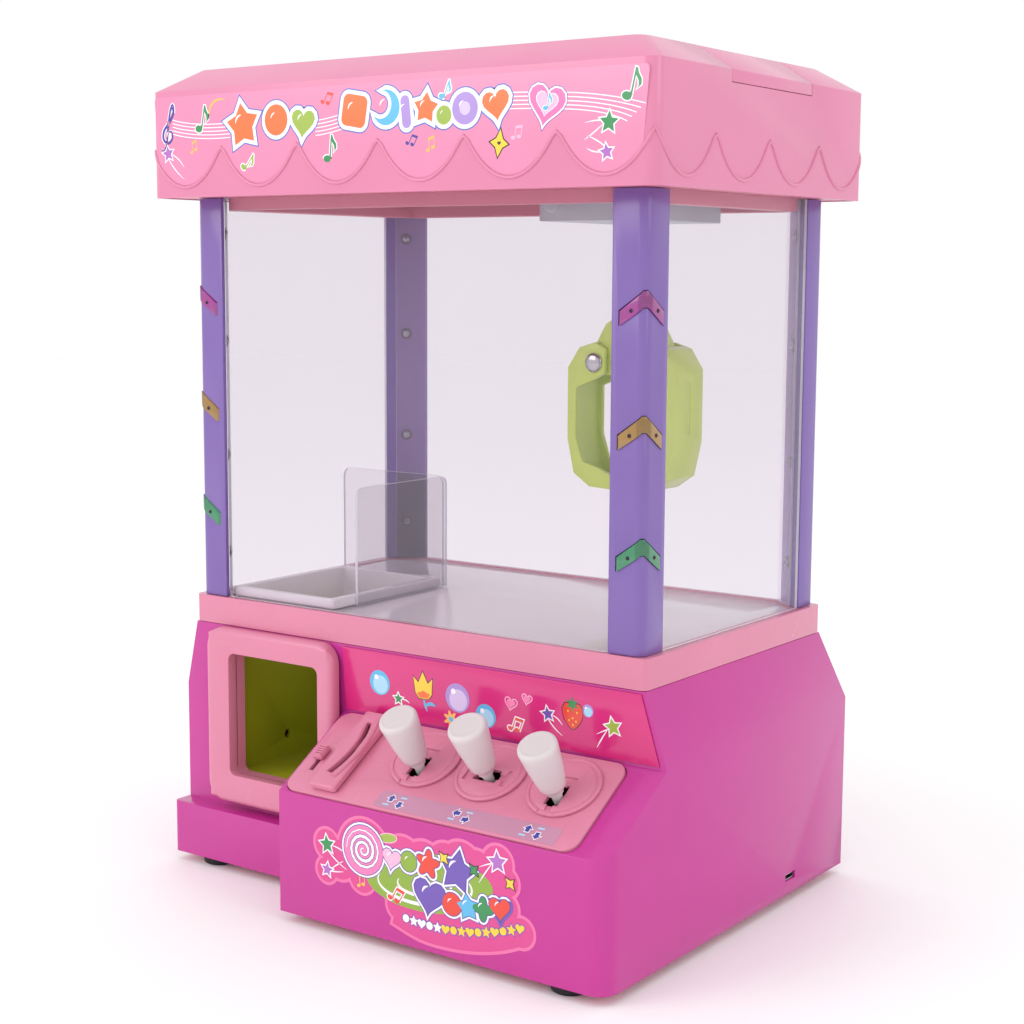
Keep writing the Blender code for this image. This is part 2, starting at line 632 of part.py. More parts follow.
def coin_parts():
    low = PANEL_H[1] + GAP
    middle, reach = (COIN_S[0] + COIN_S[1]) / 2, (COIN_S[1] - COIN_S[0]) / 2

    def bow(s):
        return COIN_X + COIN_BOW * (1 - ((s - middle) / reach) ** 2)

    stations = [COIN_S[0] + i * reach / 5 for i in range(11)]
    slot = [(bow(s) - COIN_HALF, s) for s in stations] + [(bow(s) + COIN_HALF, s) for s in reversed(stations)]
    block = slab_mesh([rounded(*COIN_BLOCK, 0.001, 1), slot], (low, low + COIN_TALL))
    bezel = add("coin_slot_bezel", block, PINK, SLOPE)
    bevel(bezel, 0.0006, 1, 80)
    room = [grow(span, -CHANNEL_WALL) for span in CHANNEL]
    channel = slab_mesh([rectangle(*CHANNEL), rectangle(*room)], (CHANNEL_FOOT, PANEL_H[0] - GAP))
    add("coin_channel", channel, DARK_PINK, SLOPE)


def power_switch():
    low = PANEL_H[1] + GAP
    wide, tall = SWITCH_HALF
    knob = add("power_switch", box_mesh((SWITCH_X - wide, SWITCH_S - tall, low),
                                        (SWITCH_X + wide, SWITCH_S + tall, low + SWITCH_TALL)), PINK, SLOPE)
    wide, tall = SWITCH_STEM
    stem = box_mesh((SWITCH_X - wide, SWITCH_S - tall, PANEL_H[0] - 0.002),
                    (SWITCH_X + wide, SWITCH_S + tall, low + SWITCH_TALL / 2))
    boolean(knob, as_cutter("switch_stem", stem, SLOPE), "UNION")
    bevel(knob, 0.0004, 1, 80)


def levers():
    top = LEVER_TOP_H - LEVER_PIVOT_H
    bore = STEM_RADIUS + GAP
    profile = [
        (0.0, top), (0.0068, top - 0.0003), (0.0080, top - 0.0015), (0.0083, top - 0.0035),
        (0.0074, top - 0.0120),
        (0.0058, GRIP_FOOT + 0.0045), (0.0050, GRIP_FOOT + 0.0030), (0.0038, GRIP_FOOT + 0.0022),
        (0.0036, GRIP_FOOT), (bore, GRIP_FOOT), (bore, GRIP_ROOF), (0.0, GRIP_ROOF),
    ]
    for side, x, s in zip(("left", "middle", "right"), LEVER_X, LEVER_S):
        pivot = (x, s, LEVER_PIVOT_H)
        shaft = rod_mesh(STEM_RADIUS, (x, s, LEVER_PIVOT_H - STEM_FOOT), (x, s, STEM_TOP_H), 14)
        stem = add("lever_stem_" + side, shaft, WHITE, SLOPE)
        half = (CROSS_PIN[1], 0.0) if side != "middle" else (0.0, CROSS_PIN[1])
        cross = rod_mesh(CROSS_PIN[0], (x - half[0], s - half[1], LEVER_PIVOT_H),
                         (x + half[0], s + half[1], LEVER_PIVOT_H), 10)
        boolean(stem, as_cutter("lever_pin_" + side, cross, SLOPE), "UNION")
        set_pivot(stem, pivot)
        grip = add("lever_grip_" + side, profile_mesh(profile), WHITE, SLOPE)
        turn(grip)
        grip.location = pivot


def art_panel():
    rise = (ART.location - Vector((0.0, BASE_TOP_Y[0], BASE_Z[2]))).length
    left, low_right, top_right = ART_X
    low, top = ART_EDGE[0], rise - ART_EDGE[1]
    shape = [(left, low), (low_right, low), (top_right, top), (left, top)]
    add("front_art_panel", slab_mesh([shape], (GAP, GAP + ART_THICK)), HOT_PINK, ART)


# ---- Pillars, lamps and windows ----

def flip(points, sx, rear):
    """Takes a front right outline to another corner of the cabin."""
    shift = PILLAR_Y[0] + PILLAR_Y[1]
    return [(x * sx, shift - y if rear else y) for x, y in points]


def pillar_outline(outset=0.0):
    """Outer legs grown by outset, closed by the inner chamfer."""
    x, y = PILLAR_X, PILLAR_Y[0]
    end_x, end_y = x - PILLAR_LEG, y + PILLAR_LEG
    radius = PILLAR_CORNER + outset
    centre = (x - PILLAR_CORNER, y + PILLAR_CORNER)
    corner = arc(centre, radius, -90, 0, CURVE_STEPS)
    inner = [(x + outset, end_y), (x - PILLAR_LIP, end_y), (end_x, y + PILLAR_LIP)]
    return [(end_x, y - outset)] + corner + inner


def leg_band(outset, inset):
    """The two legs' outer skin, from outset proud of it to inset below it."""
    x, y = PILLAR_X, PILLAR_Y[0]
    end_x, end_y = x - PILLAR_LEG, y + PILLAR_LEG
    centre = (x - PILLAR_CORNER, y + PILLAR_CORNER)
    outer = arc(centre, PILLAR_CORNER + outset, -90, 0, CURVE_STEPS)
    inner = arc(centre, PILLAR_CORNER - inset, 0, -90, CURVE_STEPS)
    return ([(end_x, y - outset)] + outer + [(x + outset, end_y), (x - inset, end_y)] + inner
            + [(end_x, y + inset)])


def chevron_mesh(sx, top, grown):
    """An upward chevron, given depth along the corner's diagonal."""
    half, band, drop, blunt = LAMP_HALF + grown, LAMP_BAND, LAMP_DROP, LAMP_BLUNT
    shape = [
        (-half, top - drop + grown), (-blunt, top + grown), (blunt, top + grown), (half, top - drop + grown),
        (half, top - drop - band + 0.0008 - grown), (blunt, top - band - grown),
        (-blunt, top - band - grown), (-half, top - drop - band + 0.0008 - grown),
    ]
    mesh = slab_mesh([shape], LAMP_REACH, "Y")
    mesh.transform(Matrix.Rotation(math.radians(45 * sx), 4, "Z"))
    mesh.transform(Matrix.Translation((sx * PILLAR_X, PILLAR_Y[0], 0.0)))
    return mesh


def pillars():
    x, y = PILLAR_X - PILLAR_WALL, PILLAR_Y[0] + PILLAR_WALL
    diagonal = PILLAR_LEG - PILLAR_LIP - PILLAR_WALL * (1 + math.sqrt(2))
    bore = [(x - diagonal, y), (x, y), (x, y + diagonal)]
    for side, sx in (("left", -1), ("right", 1)):
        for end, rear in (("front", False), ("rear", True)):
            outlines = [flip(pillar_outline(), sx, rear), flip(bore, sx, rear)]
            post = add(f"pillar_{end}_{side}", slab_mesh(outlines, PILLAR_Z), PURPLE)
            if rear:
                continue
            for level, (top, colour) in enumerate(zip(LAMP_TOPS, (LAMP_MAGENTA, LAMP_AMBER, LAMP_GREEN))):
                name = f"lamp_{side}_{('upper', 'middle', 'lower')[level]}"
                span = (top - 0.020, top + 0.005)
                groove = leg_band(LAMP_PROUD + GAP, LAMP_DEEP + GAP)
                seat = as_cutter(name + "_seat", slab_mesh([flip(groove, sx, False)], span))
                outer = as_cutter(name + "_seat_shape", chevron_mesh(sx, top, GAP))
                boolean(seat, outer, "INTERSECT")
                boolean(post, seat)
                band = leg_band(LAMP_PROUD, LAMP_DEEP)
                lens = add(name, slab_mesh([flip(band, sx, False)], span), colour)
                boolean(lens, as_cutter(name + "_shape", chevron_mesh(sx, top, 0.0)), "INTERSECT")


def windows():
    chamfer = PILLAR_X - PILLAR_Y[0] - PILLAR_LEG - PILLAR_LIP   # x - y along the pillar's inner face
    reach = (SHEET / 2 + GAP) * math.sqrt(2)
    flat = PILLAR_Y[0] + PILLAR_LIP - 0.0007
    bend_x = chamfer - reach + flat
    path = [(-bend_x - FLANGE, flat + FLANGE), (-bend_x, flat), (bend_x, flat), (bend_x + FLANGE, flat + FLANGE)]
    for name, rear in (("window_front", False), ("window_rear", True)):
        bm = bmesh.new()
        verts = [bm.verts.new((x, y, PILLAR_Z[0])) for x, y in flip(path, 1, rear)]
        edges = [bm.edges.new(pair) for pair in zip(verts, verts[1:])]
        raised = bmesh.ops.extrude_edge_only(bm, edges=edges)["geom"]
        lifted = [item for item in raised if isinstance(item, bmesh.types.BMVert)]
        bmesh.ops.translate(bm, verts=lifted, vec=(0.0, 0.0, PILLAR_Z[1] - PILLAR_Z[0]))
        mesh = bpy.data.meshes.new(name)
        bm.to_mesh(mesh)
        bm.free()
        sheet = add(name, mesh, CLEAR)
        thick = sheet.modifiers.new("thickness", "SOLIDIFY")
        thick.thickness = SHEET
        thick.offset = 0.0
        thick.use_even_offset = True
    outer = PILLAR_X - 0.0004
    span_y = (PILLAR_Y[0] + PILLAR_LEG + GAP, PILLAR_Y[1] - PILLAR_LEG - GAP)
    for name, sx in (("window_left", -1), ("window_right", 1)):
        xs = sorted((sx * (outer - SHEET), sx * outer))
        add(name, box_mesh((xs[0], span_y[0], PILLAR_Z[0]), (xs[1], span_y[1], PILLAR_Z[1])), CLEAR)


# ---- Canopy ----

def canopy_rings(inset, low, high, roof):
    x = CANOPY_X - inset
    y = grow(CANOPY_Y, -inset)
    radius = CANOPY_CORNER - inset / 2
    lower = rounded((-x, x), y, radius)
    top_x = x - ROOF_INSET[0]
    top = rounded((-top_x, top_x), grow(y, -ROOF_INSET[1]), radius)
    return [at_height(lower, low), at_height(lower, high), at_height(top, roof)]


def canopy():
    shell = add("canopy_shell", loft_mesh(canopy_rings(0.0, CANOPY_Z[0], CANOPY_Z[1], ROOF_Z)), PINK)
    inner = canopy_rings(WALL, CANOPY_Z[0] - 0.01, CANOPY_Z[1] - WALL / 3, ROOF_Z - WALL)
    boolean(shell, as_cutter("canopy_room", loft_mesh(inner)))
    hatch = box_mesh((LID_HINGE_X - LID_CLEARANCE, LID_Y[0], LID_LIP_Z - GAP), (0.15, LID_Y[1], 0.38))
    boolean(shell, as_cutter("roof_hatch", hatch))

    hole = rectangle((-LINER_HOLE_X, LINER_HOLE_X), LINER_HOLE_Y)
    edge = WALL + GAP
    plate = rounded((edge - CANOPY_X, CANOPY_X - edge), grow(CANOPY_Y, -edge), CANOPY_CORNER)
    liner = add("canopy_liner", slab_mesh([plate, hole], LINER_Z), DARK_PINK)
    skirt = chamfered(SKIRT_X, SKIRT_Y, SKIRT_CHAMFER)
    drop = slab_mesh([skirt, hole], (LINER_DROP, LINER_Z[0] + 0.001))
    boolean(liner, as_cutter("liner_skirt", drop), "UNION")
    for name, sx in (("rail_left", -1), ("rail_right", 1)):
        xs = sorted((sx * RAIL_X[0], sx * RAIL_X[1]))
        add(name, box_mesh((xs[0], RAIL_Y[0], RAIL_Z[0]), (xs[1], RAIL_Y[1], RAIL_Z[1])), STEEL)


def roof_lid():
    t = LID_THICK
    roof_x = CANOPY_X - ROOF_INSET[0]
    barrel = arc((LID_HINGE_X, ROOF_Z - t / 2), t / 2, 90, 270, 6)
    under_x = roof_x - 0.0008
    shape = barrel + [
        (under_x, ROOF_Z - t), (CANOPY_X - t, CANOPY_Z[1] - 0.0012), (CANOPY_X - t, LID_LIP_Z),
        (CANOPY_X, LID_LIP_Z), (CANOPY_X, CANOPY_Z[1]), (roof_x, ROOF_Z),
    ]
    lid = add("roof_lid", slab_mesh([shape], grow(LID_Y, -GAP), "Y"), PINK)
    set_pivot(lid, (LID_HINGE_X, (LID_Y[0] + LID_Y[1]) / 2, ROOF_Z - t / 2))


# ---- Crane ----

def bridge():
    """The beam that crosses the cabin, with a shoe on each rail."""
    y = (CLAW_Y - BEAM_HALF, CLAW_Y + BEAM_HALF)
    shoe_y = (CLAW_Y - SHOE_HALF, CLAW_Y + SHOE_HALF)
    beam = add("bridge_beam", box_mesh((-BEAM_END, y[0], BEAM_Z[0]), (BEAM_END, y[1], BEAM_Z[1])), GREY)
    for sx in (-1, 1):
        xs = sorted((sx * (RAIL_X[0] - SHOE_INNER), sx * BEAM_END))
        shoe = box_mesh((xs[0], shoe_y[0], RAIL_Z[1] + GAP), (xs[1], shoe_y[1], BEAM_Z[1] - 0.001))
        boolean(beam, as_cutter("shoe", shoe), "UNION")
        lip = sorted((sx * (RAIL_X[1] + GAP), sx * BEAM_END))
        guide = box_mesh((lip[0], shoe_y[0], RAIL_Z[0] + 0.001), (lip[1], shoe_y[1], BEAM_Z[0]))
        boolean(beam, as_cutter("shoe_lip", guide), "UNION")


def trolley():
    wall = HOUSING_WALL
    low = (CLAW_X + HOUSING_X[0], CLAW_Y + HOUSING_Y[0], HOUSING_Z[0])
    high = (CLAW_X + HOUSING_X[1], CLAW_Y + HOUSING_Y[1], HOUSING_Z[1])
    housing = add("trolley_housing", box_mesh(low, high), GREY)
    room = box_mesh([a + wall for a in low], (high[0] - wall, high[1] - wall, high[2] + wall))
    boolean(housing, as_cutter("housing_room", room))
    reach = BEAM_HALF + 2 * GAP
    tunnel = box_mesh((low[0] - wall, CLAW_Y - reach, BEAM_Z[0] - 2 * GAP),
                      (high[0] + wall, CLAW_Y + reach, BEAM_Z[1] + 2 * GAP))
    boolean(housing, as_cutter("beam_tunnel", tunnel))
    across, along = CORD_MOUTH
    mouth = box_mesh((CLAW_X - across, CLAW_Y - along, low[2] - wall),
                     (CLAW_X + across, CLAW_Y + along, low[2] + 2 * wall))
    boolean(housing, as_cutter("cord_mouth", mouth))
    radius, right, up, proud = BOSS
    x, z = low[0] + right, low[2] + up
    boss = rod_mesh(radius, (x, low[1] + wall / 2, z), (x, low[1] - proud, z))
    boolean(housing, as_cutter("housing_boss", boss), "UNION")

    y, z = CLAW_Y + MOTOR_Y, DRUM_Z + MOTOR_Z
    add("winch_motor", rod_mesh(MOTOR_RADIUS, (CLAW_X + MOTOR_X[0], y, z), (CLAW_X + MOTOR_X[1], y, z)), STEEL)


def winch_drum():
    """Drum and gear on one shaft, along X. The strands leave it on the claw's middle plane."""
    axis_y = CLAW_Y + DRUM_RADIUS + STRAND_RADIUS + 2 * GAP
    drum = add("winch_drum", profile_mesh([
        (0.0, 0.0210), (0.0020, 0.0210), (0.0020, 0.0185), (0.0071, 0.0185), (0.0071, 0.0165), (0.0068, 0.0165),
        (0.0068, 0.0065), (DRUM_RADIUS, 0.0065), (DRUM_RADIUS, -0.0065), (0.0068, -0.0065), (0.0068, -0.0080),
        (0.0020, -0.0080), (0.0020, -0.0120), (0.0, -0.0120),
    ]), WHITE)
    turn(drum, 24)
    drum.location = (CLAW_X, axis_y, DRUM_Z)
    drum.rotation_euler = (0.0, math.pi / 2, 0.0)


def claw():
    px, pz = JAW_PIVOT
    bores = [arc((sx * px, pz), JAW_BORE, 0, 330, 11) for sx in (-1, 1)]
    head = slab_mesh([HEAD_OUTLINE] + bores, (-HEAD_HALF, HEAD_HALF), "Y")
    head.transform(Matrix.Translation((CLAW_X, CLAW_Y, 0.0)))
    add("claw_head", head, LIME)
    for side, sx in (("left", -1), ("right", 1)):
        x = CLAW_X + sx * px
        pin = rod_mesh(PIN_RADIUS, (x, CLAW_Y - PIN_HALF, pz), (x, CLAW_Y + PIN_HALF, pz), 14)
        add("claw_pin_" + side, pin, STEEL)
        place = Matrix.Translation((CLAW_X, CLAW_Y, 0.0)) @ Matrix.Diagonal((sx, 1.0, 1.0, 1.0))
        outer = slab_mesh([JAW_OUTLINE, bores[1]], (-CHEEK[1], CHEEK[1]), "Y")
        inner = slab_mesh([SCOOP_OUTLINE], (-CHEEK[0], CHEEK[0]), "Y")
        for mesh in (outer, inner):
            mesh.transform(place)
            if sx < 0:
                mesh.flip_normals()
        jaw = add("claw_jaw_" + side, outer, LIME)
        set_pivot(jaw, (x, CLAW_Y, pz))
        boolean(jaw, as_cutter("scoop", inner))


def claw_cord():
    """One cord doubled over the drum: two strands and the turn that joins them."""
    curve = bpy.data.curves.new("claw_cord", "CURVE")
    curve.dimensions = "3D"
    curve.bevel_depth = STRAND_RADIUS
    curve.bevel_resolution = 2
    curve.use_fill_caps = True
    spline = curve.splines.new("POLY")
    foot, top = max(z for _, z in HEAD_OUTLINE) + GAP, DRUM_Z
    bend = arc((CLAW_X, top - STRAND_X), STRAND_X, 180, 0, 6)
    route = [(CLAW_X - STRAND_X, foot)] + bend + [(CLAW_X + STRAND_X, foot)]
    spline.points.add(len(route) - 1)
    for point, (x, z) in zip(spline.points, route):
        point.co = (x, CLAW_Y, z, 1.0)
    cord = bpy.data.objects.new("claw_cord", curve)
    curve.materials.append(WHITE)
    PARTS.objects.link(cord)


clear_scene()
PARTS = new_collection("claw_crane_machine")
CUTTERS = new_collection("cutters")
PINK = material("light_pink_plastic", (0.90, 0.42, 0.58), 0.35)
MAGENTA = material("magenta_plastic", (0.62, 0.06, 0.33), 0.28)
HOT_PINK = material("hot_pink_print", (0.80, 0.08, 0.30), 0.30)
DARK_PINK = material("deep_pink_plastic", (0.45, 0.06, 0.14), 0.45)
PURPLE = material("purple_plastic", (0.28, 0.15, 0.52), 0.35)
LIME = material("lime_plastic", (0.48, 0.60, 0.08), 0.40)
WHITE = material("white_plastic", (0.82, 0.80, 0.80), 0.40)
PALE = material("pale_plastic", (0.72, 0.68, 0.72), 0.20)
GREY = material("grey_plastic", (0.45, 0.45, 0.48), 0.45)
BLACK = material("black_rubber", (0.02, 0.02, 0.02), 0.70)
STEEL = material("steel", (0.60, 0.60, 0.62), 0.25, 1.0)
GREEN_BOARD = material("green_board", (0.04, 0.20, 0.08), 0.40)
CLEAR = material("clear_sheet", (0.90, 0.90, 0.94), 0.05)
LAMP_MAGENTA = material("magenta_lens", (0.65, 0.05, 0.40), 0.12)
LAMP_AMBER = material("amber_lens", (0.60, 0.38, 0.08), 0.12)
LAMP_GREEN = material("green_lens", (0.04, 0.40, 0.22), 0.12)

SLOPE = slope_frame()
ART = art_frame()
base_shell()
underside()
electrics()
deck()
chute()
fence()
prize_box()
control_panel()
coin_parts()
power_switch()
levers()
art_panel()
pillars()
windows()
canopy()
roof_lid()
bridge()
trolley()
winch_drum()
claw()
claw_cord()
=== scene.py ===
"""Looks of the toy claw crane machine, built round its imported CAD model, in metres, +Z up.

The front, with the levers and the prize door, faces -Y, and +X is to the right."""

import json
import math

import bmesh
import bpy
from mathutils import Matrix, Vector


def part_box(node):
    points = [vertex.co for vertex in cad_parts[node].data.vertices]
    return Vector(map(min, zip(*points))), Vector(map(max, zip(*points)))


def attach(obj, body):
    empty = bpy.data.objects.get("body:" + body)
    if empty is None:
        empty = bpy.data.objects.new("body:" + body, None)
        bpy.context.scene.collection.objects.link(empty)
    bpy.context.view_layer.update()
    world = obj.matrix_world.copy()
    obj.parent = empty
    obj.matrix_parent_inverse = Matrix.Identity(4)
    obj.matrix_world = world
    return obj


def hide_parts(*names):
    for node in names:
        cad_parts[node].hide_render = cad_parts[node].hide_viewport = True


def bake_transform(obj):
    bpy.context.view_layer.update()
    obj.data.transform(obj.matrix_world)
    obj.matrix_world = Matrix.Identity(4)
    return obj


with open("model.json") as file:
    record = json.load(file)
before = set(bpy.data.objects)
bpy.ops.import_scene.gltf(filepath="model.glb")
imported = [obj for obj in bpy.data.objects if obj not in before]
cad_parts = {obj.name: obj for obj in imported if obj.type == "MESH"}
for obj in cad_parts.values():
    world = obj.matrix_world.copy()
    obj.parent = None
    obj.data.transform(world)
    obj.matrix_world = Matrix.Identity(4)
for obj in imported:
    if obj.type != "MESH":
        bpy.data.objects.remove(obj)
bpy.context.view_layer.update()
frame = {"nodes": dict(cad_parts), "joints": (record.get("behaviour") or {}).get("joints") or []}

MM = 0.001
TURN = 6.283                  # one turn, in radians
SIDES = (("left", -1), ("right", 1))
JOINTS = {joint["name"]: joint for joint in frame["joints"]}


# ---- Faces of the machine that things are placed on ----

def face_frame(origin, u, v):
    """A matrix whose X and Y lie in a face, along u and v, and whose Z points out of it."""
    u, v = Vector(u).normalized(), Vector(v).normalized()
    turn = Matrix((u, v, u.cross(v))).transposed().to_4x4()
    return Matrix.Translation(origin) @ turn


def middle(node):
    low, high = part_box(node)
    return (low + high) / 2


def centred(node):
    """The middle of a node, moved to the machine's middle plane."""
    return middle(node) * Vector((0, 1, 1))


CANOPY_LOW, CANOPY_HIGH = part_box("canopy_shell")
BASE_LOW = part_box("base_shell")[0]
UP_SLOPE = Vector(JOINTS["power_switch_slide"]["axis"])
RIGHT = Vector((1, 0, 0))
PILLAR_LOW, PILLAR_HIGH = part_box("pillar_front_right")
CORNER_REACH = PILLAR_HIGH.x + PILLAR_LOW.y      # |x| + y at the front pillars' outer corners
OUT_SLOPE = RIGHT.cross(UP_SLOPE)
PANEL_HALF = 24.25 * MM       # half the control panel's length up the slope
PANEL_TOP = 1.15 * MM         # from the panel's middle to its top face
# The console's slope: X as in the frame, Y from the panel's lower edge up, Z from its top face out.
SLOPE = face_frame(centred("control_panel") - UP_SLOPE * PANEL_HALF + OUT_SLOPE * PANEL_TOP, RIGHT, UP_SLOPE)
ART_LEAN = math.radians(4.2)  # how far the art panel leans back
ART_TOP = 0.3 * MM            # from the art panel's middle to its front face
UP_ART = Vector((0, -math.sin(ART_LEAN), math.cos(ART_LEAN)))
ART = face_frame(centred("front_art_panel") + RIGHT.cross(UP_ART) * ART_TOP, RIGHT, UP_ART)
CANOPY_FRONT = face_frame((0, CANOPY_LOW.y, 0), RIGHT, (0, 0, 1))
CONSOLE_FRONT = face_frame((0, BASE_LOW.y, 0), RIGHT, (0, 0, 1))


# ---- Shader maths ----

def linear(colour):
    """A display colour as the renderer counts it."""
    return tuple(c / 12.92 if c <= 0.04045 else ((c + 0.055) / 1.055) ** 2.4 for c in colour) + (1.0,)


class Value:
    """A socket that takes part in Python sums, which add Math nodes to its material."""

    def __init__(self, finish, socket):
        self.finish, self.socket = finish, socket

    def sum(self, operation, *terms):
        inputs = dict(enumerate(terms))
        return self.finish.node("ShaderNodeMath", {"operation": operation}, inputs)["Value"]

    def __add__(self, other):
        return self.sum("ADD", self, other)

    def __sub__(self, other):
        return self.sum("SUBTRACT", self, other)

    def __mul__(self, other):
        return self.sum("MULTIPLY", self, other)

    def __gt__(self, other):
        return self.sum("GREATER_THAN", self, other)

    def __lt__(self, other):
        return self.sum("LESS_THAN", self, other)

    def __pow__(self, other):
        return self.sum("POWER", self, other)

    __radd__, __rmul__ = __add__, __mul__


class Outputs:
    """The outputs of a node, by name."""

    def __init__(self, finish, made):
        self.finish, self.made = finish, made

    def __getitem__(self, name):
        return Value(self.finish, self.made.outputs[name])


class Finish:
    """A material with a Principled shader, and the nodes that vary it."""

    def __init__(self, name, colour, roughness, **constants):
        self.material = bpy.data.materials.new(name)
        self.material.use_nodes = True
        self.tree = self.material.node_tree
        self.shader = self.tree.nodes["Principled BSDF"]
        self.place = self.node("ShaderNodeTexCoord")["Object"]
        self.set("Base Color", linear(colour))
        self.set("Roughness", roughness)
        for name, value in constants.items():
            self.set(name.replace("_", " "), value)

    def node(self, kind, settings=None, inputs=None):
        """A new node, with its settings and the values or links of its sockets."""
        made = self.tree.nodes.new(kind)
        for name, value in (settings or {}).items():
            setattr(made, name, value)
        for name, value in (inputs or {}).items():
            self.feed(made.inputs[name], value)
        return Outputs(self, made)

    def feed(self, socket, value):
        if isinstance(value, Value):
            self.tree.links.new(value.socket, socket)
        else:
            socket.default_value = value

    def set(self, name, value):
        self.feed(self.shader.inputs[name], value)

    def noise(self, per_metre, detail=2.0, stretch=(1, 1, 1)):
        """Smooth noise from 0 to 1, with about this many waves to a metre."""
        place = self.place
        if stretch != (1, 1, 1):
            place = self.node("ShaderNodeMapping", None, {"Vector": self.place, "Scale": stretch})["Vector"]
        settings = {"Vector": place, "Scale": per_metre, "Detail": detail}
        return self.node("ShaderNodeTexNoise", None, settings)["Fac"]

    def mix(self, share, first, second):
        """Two colours mixed, with this share of the second."""
        made = self.node("ShaderNodeMix", {"data_type": "RGBA"}, {0: share})
        self.feed(made.made.inputs[6], first)
        self.feed(made.made.inputs[7], second)
        return Value(self, made.made.outputs[2])

    def bump(self, height, depth, strength=1.0, normal=None):
        inputs = {"Height": height, "Distance": depth, "Strength": strength}
        if normal:
            inputs["Normal"] = normal
        return self.node("ShaderNodeBump", None, inputs)["Normal"]


def shade(colour, by):
    return tuple(min(1.0, c * by) for c in colour)


def moulded(name, colour, roughness, grain=0.012, flow=0.10, **constants):
    """Injection-moulded plastic: a faint flow in its colour, fine grain and slightly wavy gloss."""
    finish = Finish(name, colour, roughness, **constants)
    cloud = finish.noise(22.0)
    fine = finish.noise(2600.0, 3.0)
    patch = finish.noise(95.0, 4.0)
    finish.set("Base Color", finish.mix(cloud, linear(shade(colour, 0.965)), linear(shade(colour, 1.02))))
    finish.set("Roughness", roughness + (patch - 0.5) * 0.06 + (fine - 0.5) * 0.05)
    waves = finish.bump(cloud, flow * MM, 0.35)
    finish.set("Normal", finish.bump(fine, grain * MM, 0.4, waves))
    return finish.material


def rubber(name, colour):
    finish = Finish(name, colour, 0.75)
    fine = finish.noise(1500.0, 5.0)
    finish.set("Base Color", finish.mix(fine, linear(shade(colour, 0.7)), linear(shade(colour, 1.4))))
    finish.set("Roughness", 0.62 + fine * 0.25)
    finish.set("Normal", finish.bump(fine, 0.03 * MM))
    return finish.material


def metal(name, colour, roughness, stretch=(1, 1, 1)):
    """Plated or drawn metal, with fine marks along one direction."""
    finish = Finish(name, colour, roughness, Metallic=1.0)
    marks = finish.noise(900.0, 4.0, stretch)
    haze = finish.noise(60.0, 3.0)
    finish.set("Roughness", roughness + (marks - 0.5) * 0.12 + (haze - 0.5) * 0.10)
    finish.set("Base Color", finish.mix(haze, linear(shade(colour, 0.9)), linear(colour)))
    finish.set("Normal", finish.bump(marks, 0.004 * MM))
    return finish.material


def sheet_plastic(name, tint, haze, gloss=0.03, veil=(0.93, 0.93, 0.96)):
    """Clear sheet: it lets the scene through with a tint, a little haze and a mirror at low angles."""
    finish = Finish(name, veil, gloss)
    smear = finish.noise(14.0, 5.0)
    dust = finish.noise(700.0, 2.0)
    finish.set("Roughness", gloss + (smear - 0.4) * 0.04)
    finish.set("Normal", finish.bump(smear, 0.12 * MM, 0.15))
    clear = finish.node("ShaderNodeBsdfTransparent", None, {"Color": linear(tint)}).made
    slant = finish.node("ShaderNodeLayerWeight", None, {"Blend": 0.5})["Facing"]
    mirror = 0.02 + 0.75 * slant ** 5
    seen = haze + mirror + smear * haze + (dust > 0.80) * 0.01
    both = finish.node("ShaderNodeMixShader", None, {0: seen}).made
    finish.tree.links.new(clear.outputs[0], both.inputs[1])
    finish.tree.links.new(finish.shader.outputs[0], both.inputs[2])
    finish.tree.links.new(both.outputs[0], finish.tree.nodes["Material Output"].inputs["Surface"])
    return finish.material


def lens(name, colour):
    """Tinted lens with upright ribs inside, and a fine lattice round the pillar's corner."""
    rib, row, lattice_reach = 0.55 * MM, 0.9 * MM, 4.2 * MM
    finish = Finish(name, colour, 0.10, Coat_Weight=0.5, Coat_Roughness=0.04)
    where = finish.node("ShaderNodeSeparateXYZ", None, {"Vector": finish.place})
    along = finish.node("ShaderNodeMath", {"operation": "ABSOLUTE"}, {0: where["X"]})["Value"] + where["Y"]
    off_corner = finish.node("ShaderNodeMath", {"operation": "ABSOLUTE"}, {0: along - CORNER_REACH})["Value"]
    ribs = finish.node("ShaderNodeMath", {"operation": "SINE"}, {0: along * (TURN / rib)})["Value"]
    rows = finish.node("ShaderNodeMath", {"operation": "SINE"}, {0: where["Z"] * (TURN / row)})["Value"]
    lattice = (ribs * rows > 0.12) * (off_corner < lattice_reach)
    cloud = finish.noise(160.0, 3.0)
    tone = finish.mix(cloud, linear(shade(colour, 0.88)), linear(shade(colour, 1.12)))
    tone = finish.mix(0.5 + ribs * 0.5, tone, finish.mix(0.07, tone, linear((1, 1, 1))))
    finish.set("Base Color", finish.mix(lattice * 0.8, tone, linear(shade(colour, 0.40))))
    finish.set("Normal", finish.bump(ribs, 0.03 * MM, 0.4))
    return finish.material


def ink(name, colour, roughness=0.16):
    """Screen print under a glossy film, with a faint orange peel."""
    finish = Finish(name, colour, roughness, Coat_Weight=0.35, Coat_Roughness=0.10)
    peel = finish.noise(500.0, 2.0)
    cloud = finish.noise(40.0)
    finish.set("Base Color", finish.mix(cloud, linear(shade(colour, 0.97)), linear(shade(colour, 1.02))))
    finish.set("Roughness", roughness + (peel - 0.5) * 0.05)
    finish.set("Normal", finish.bump(peel, 0.006 * MM, 0.5))
    return finish.material


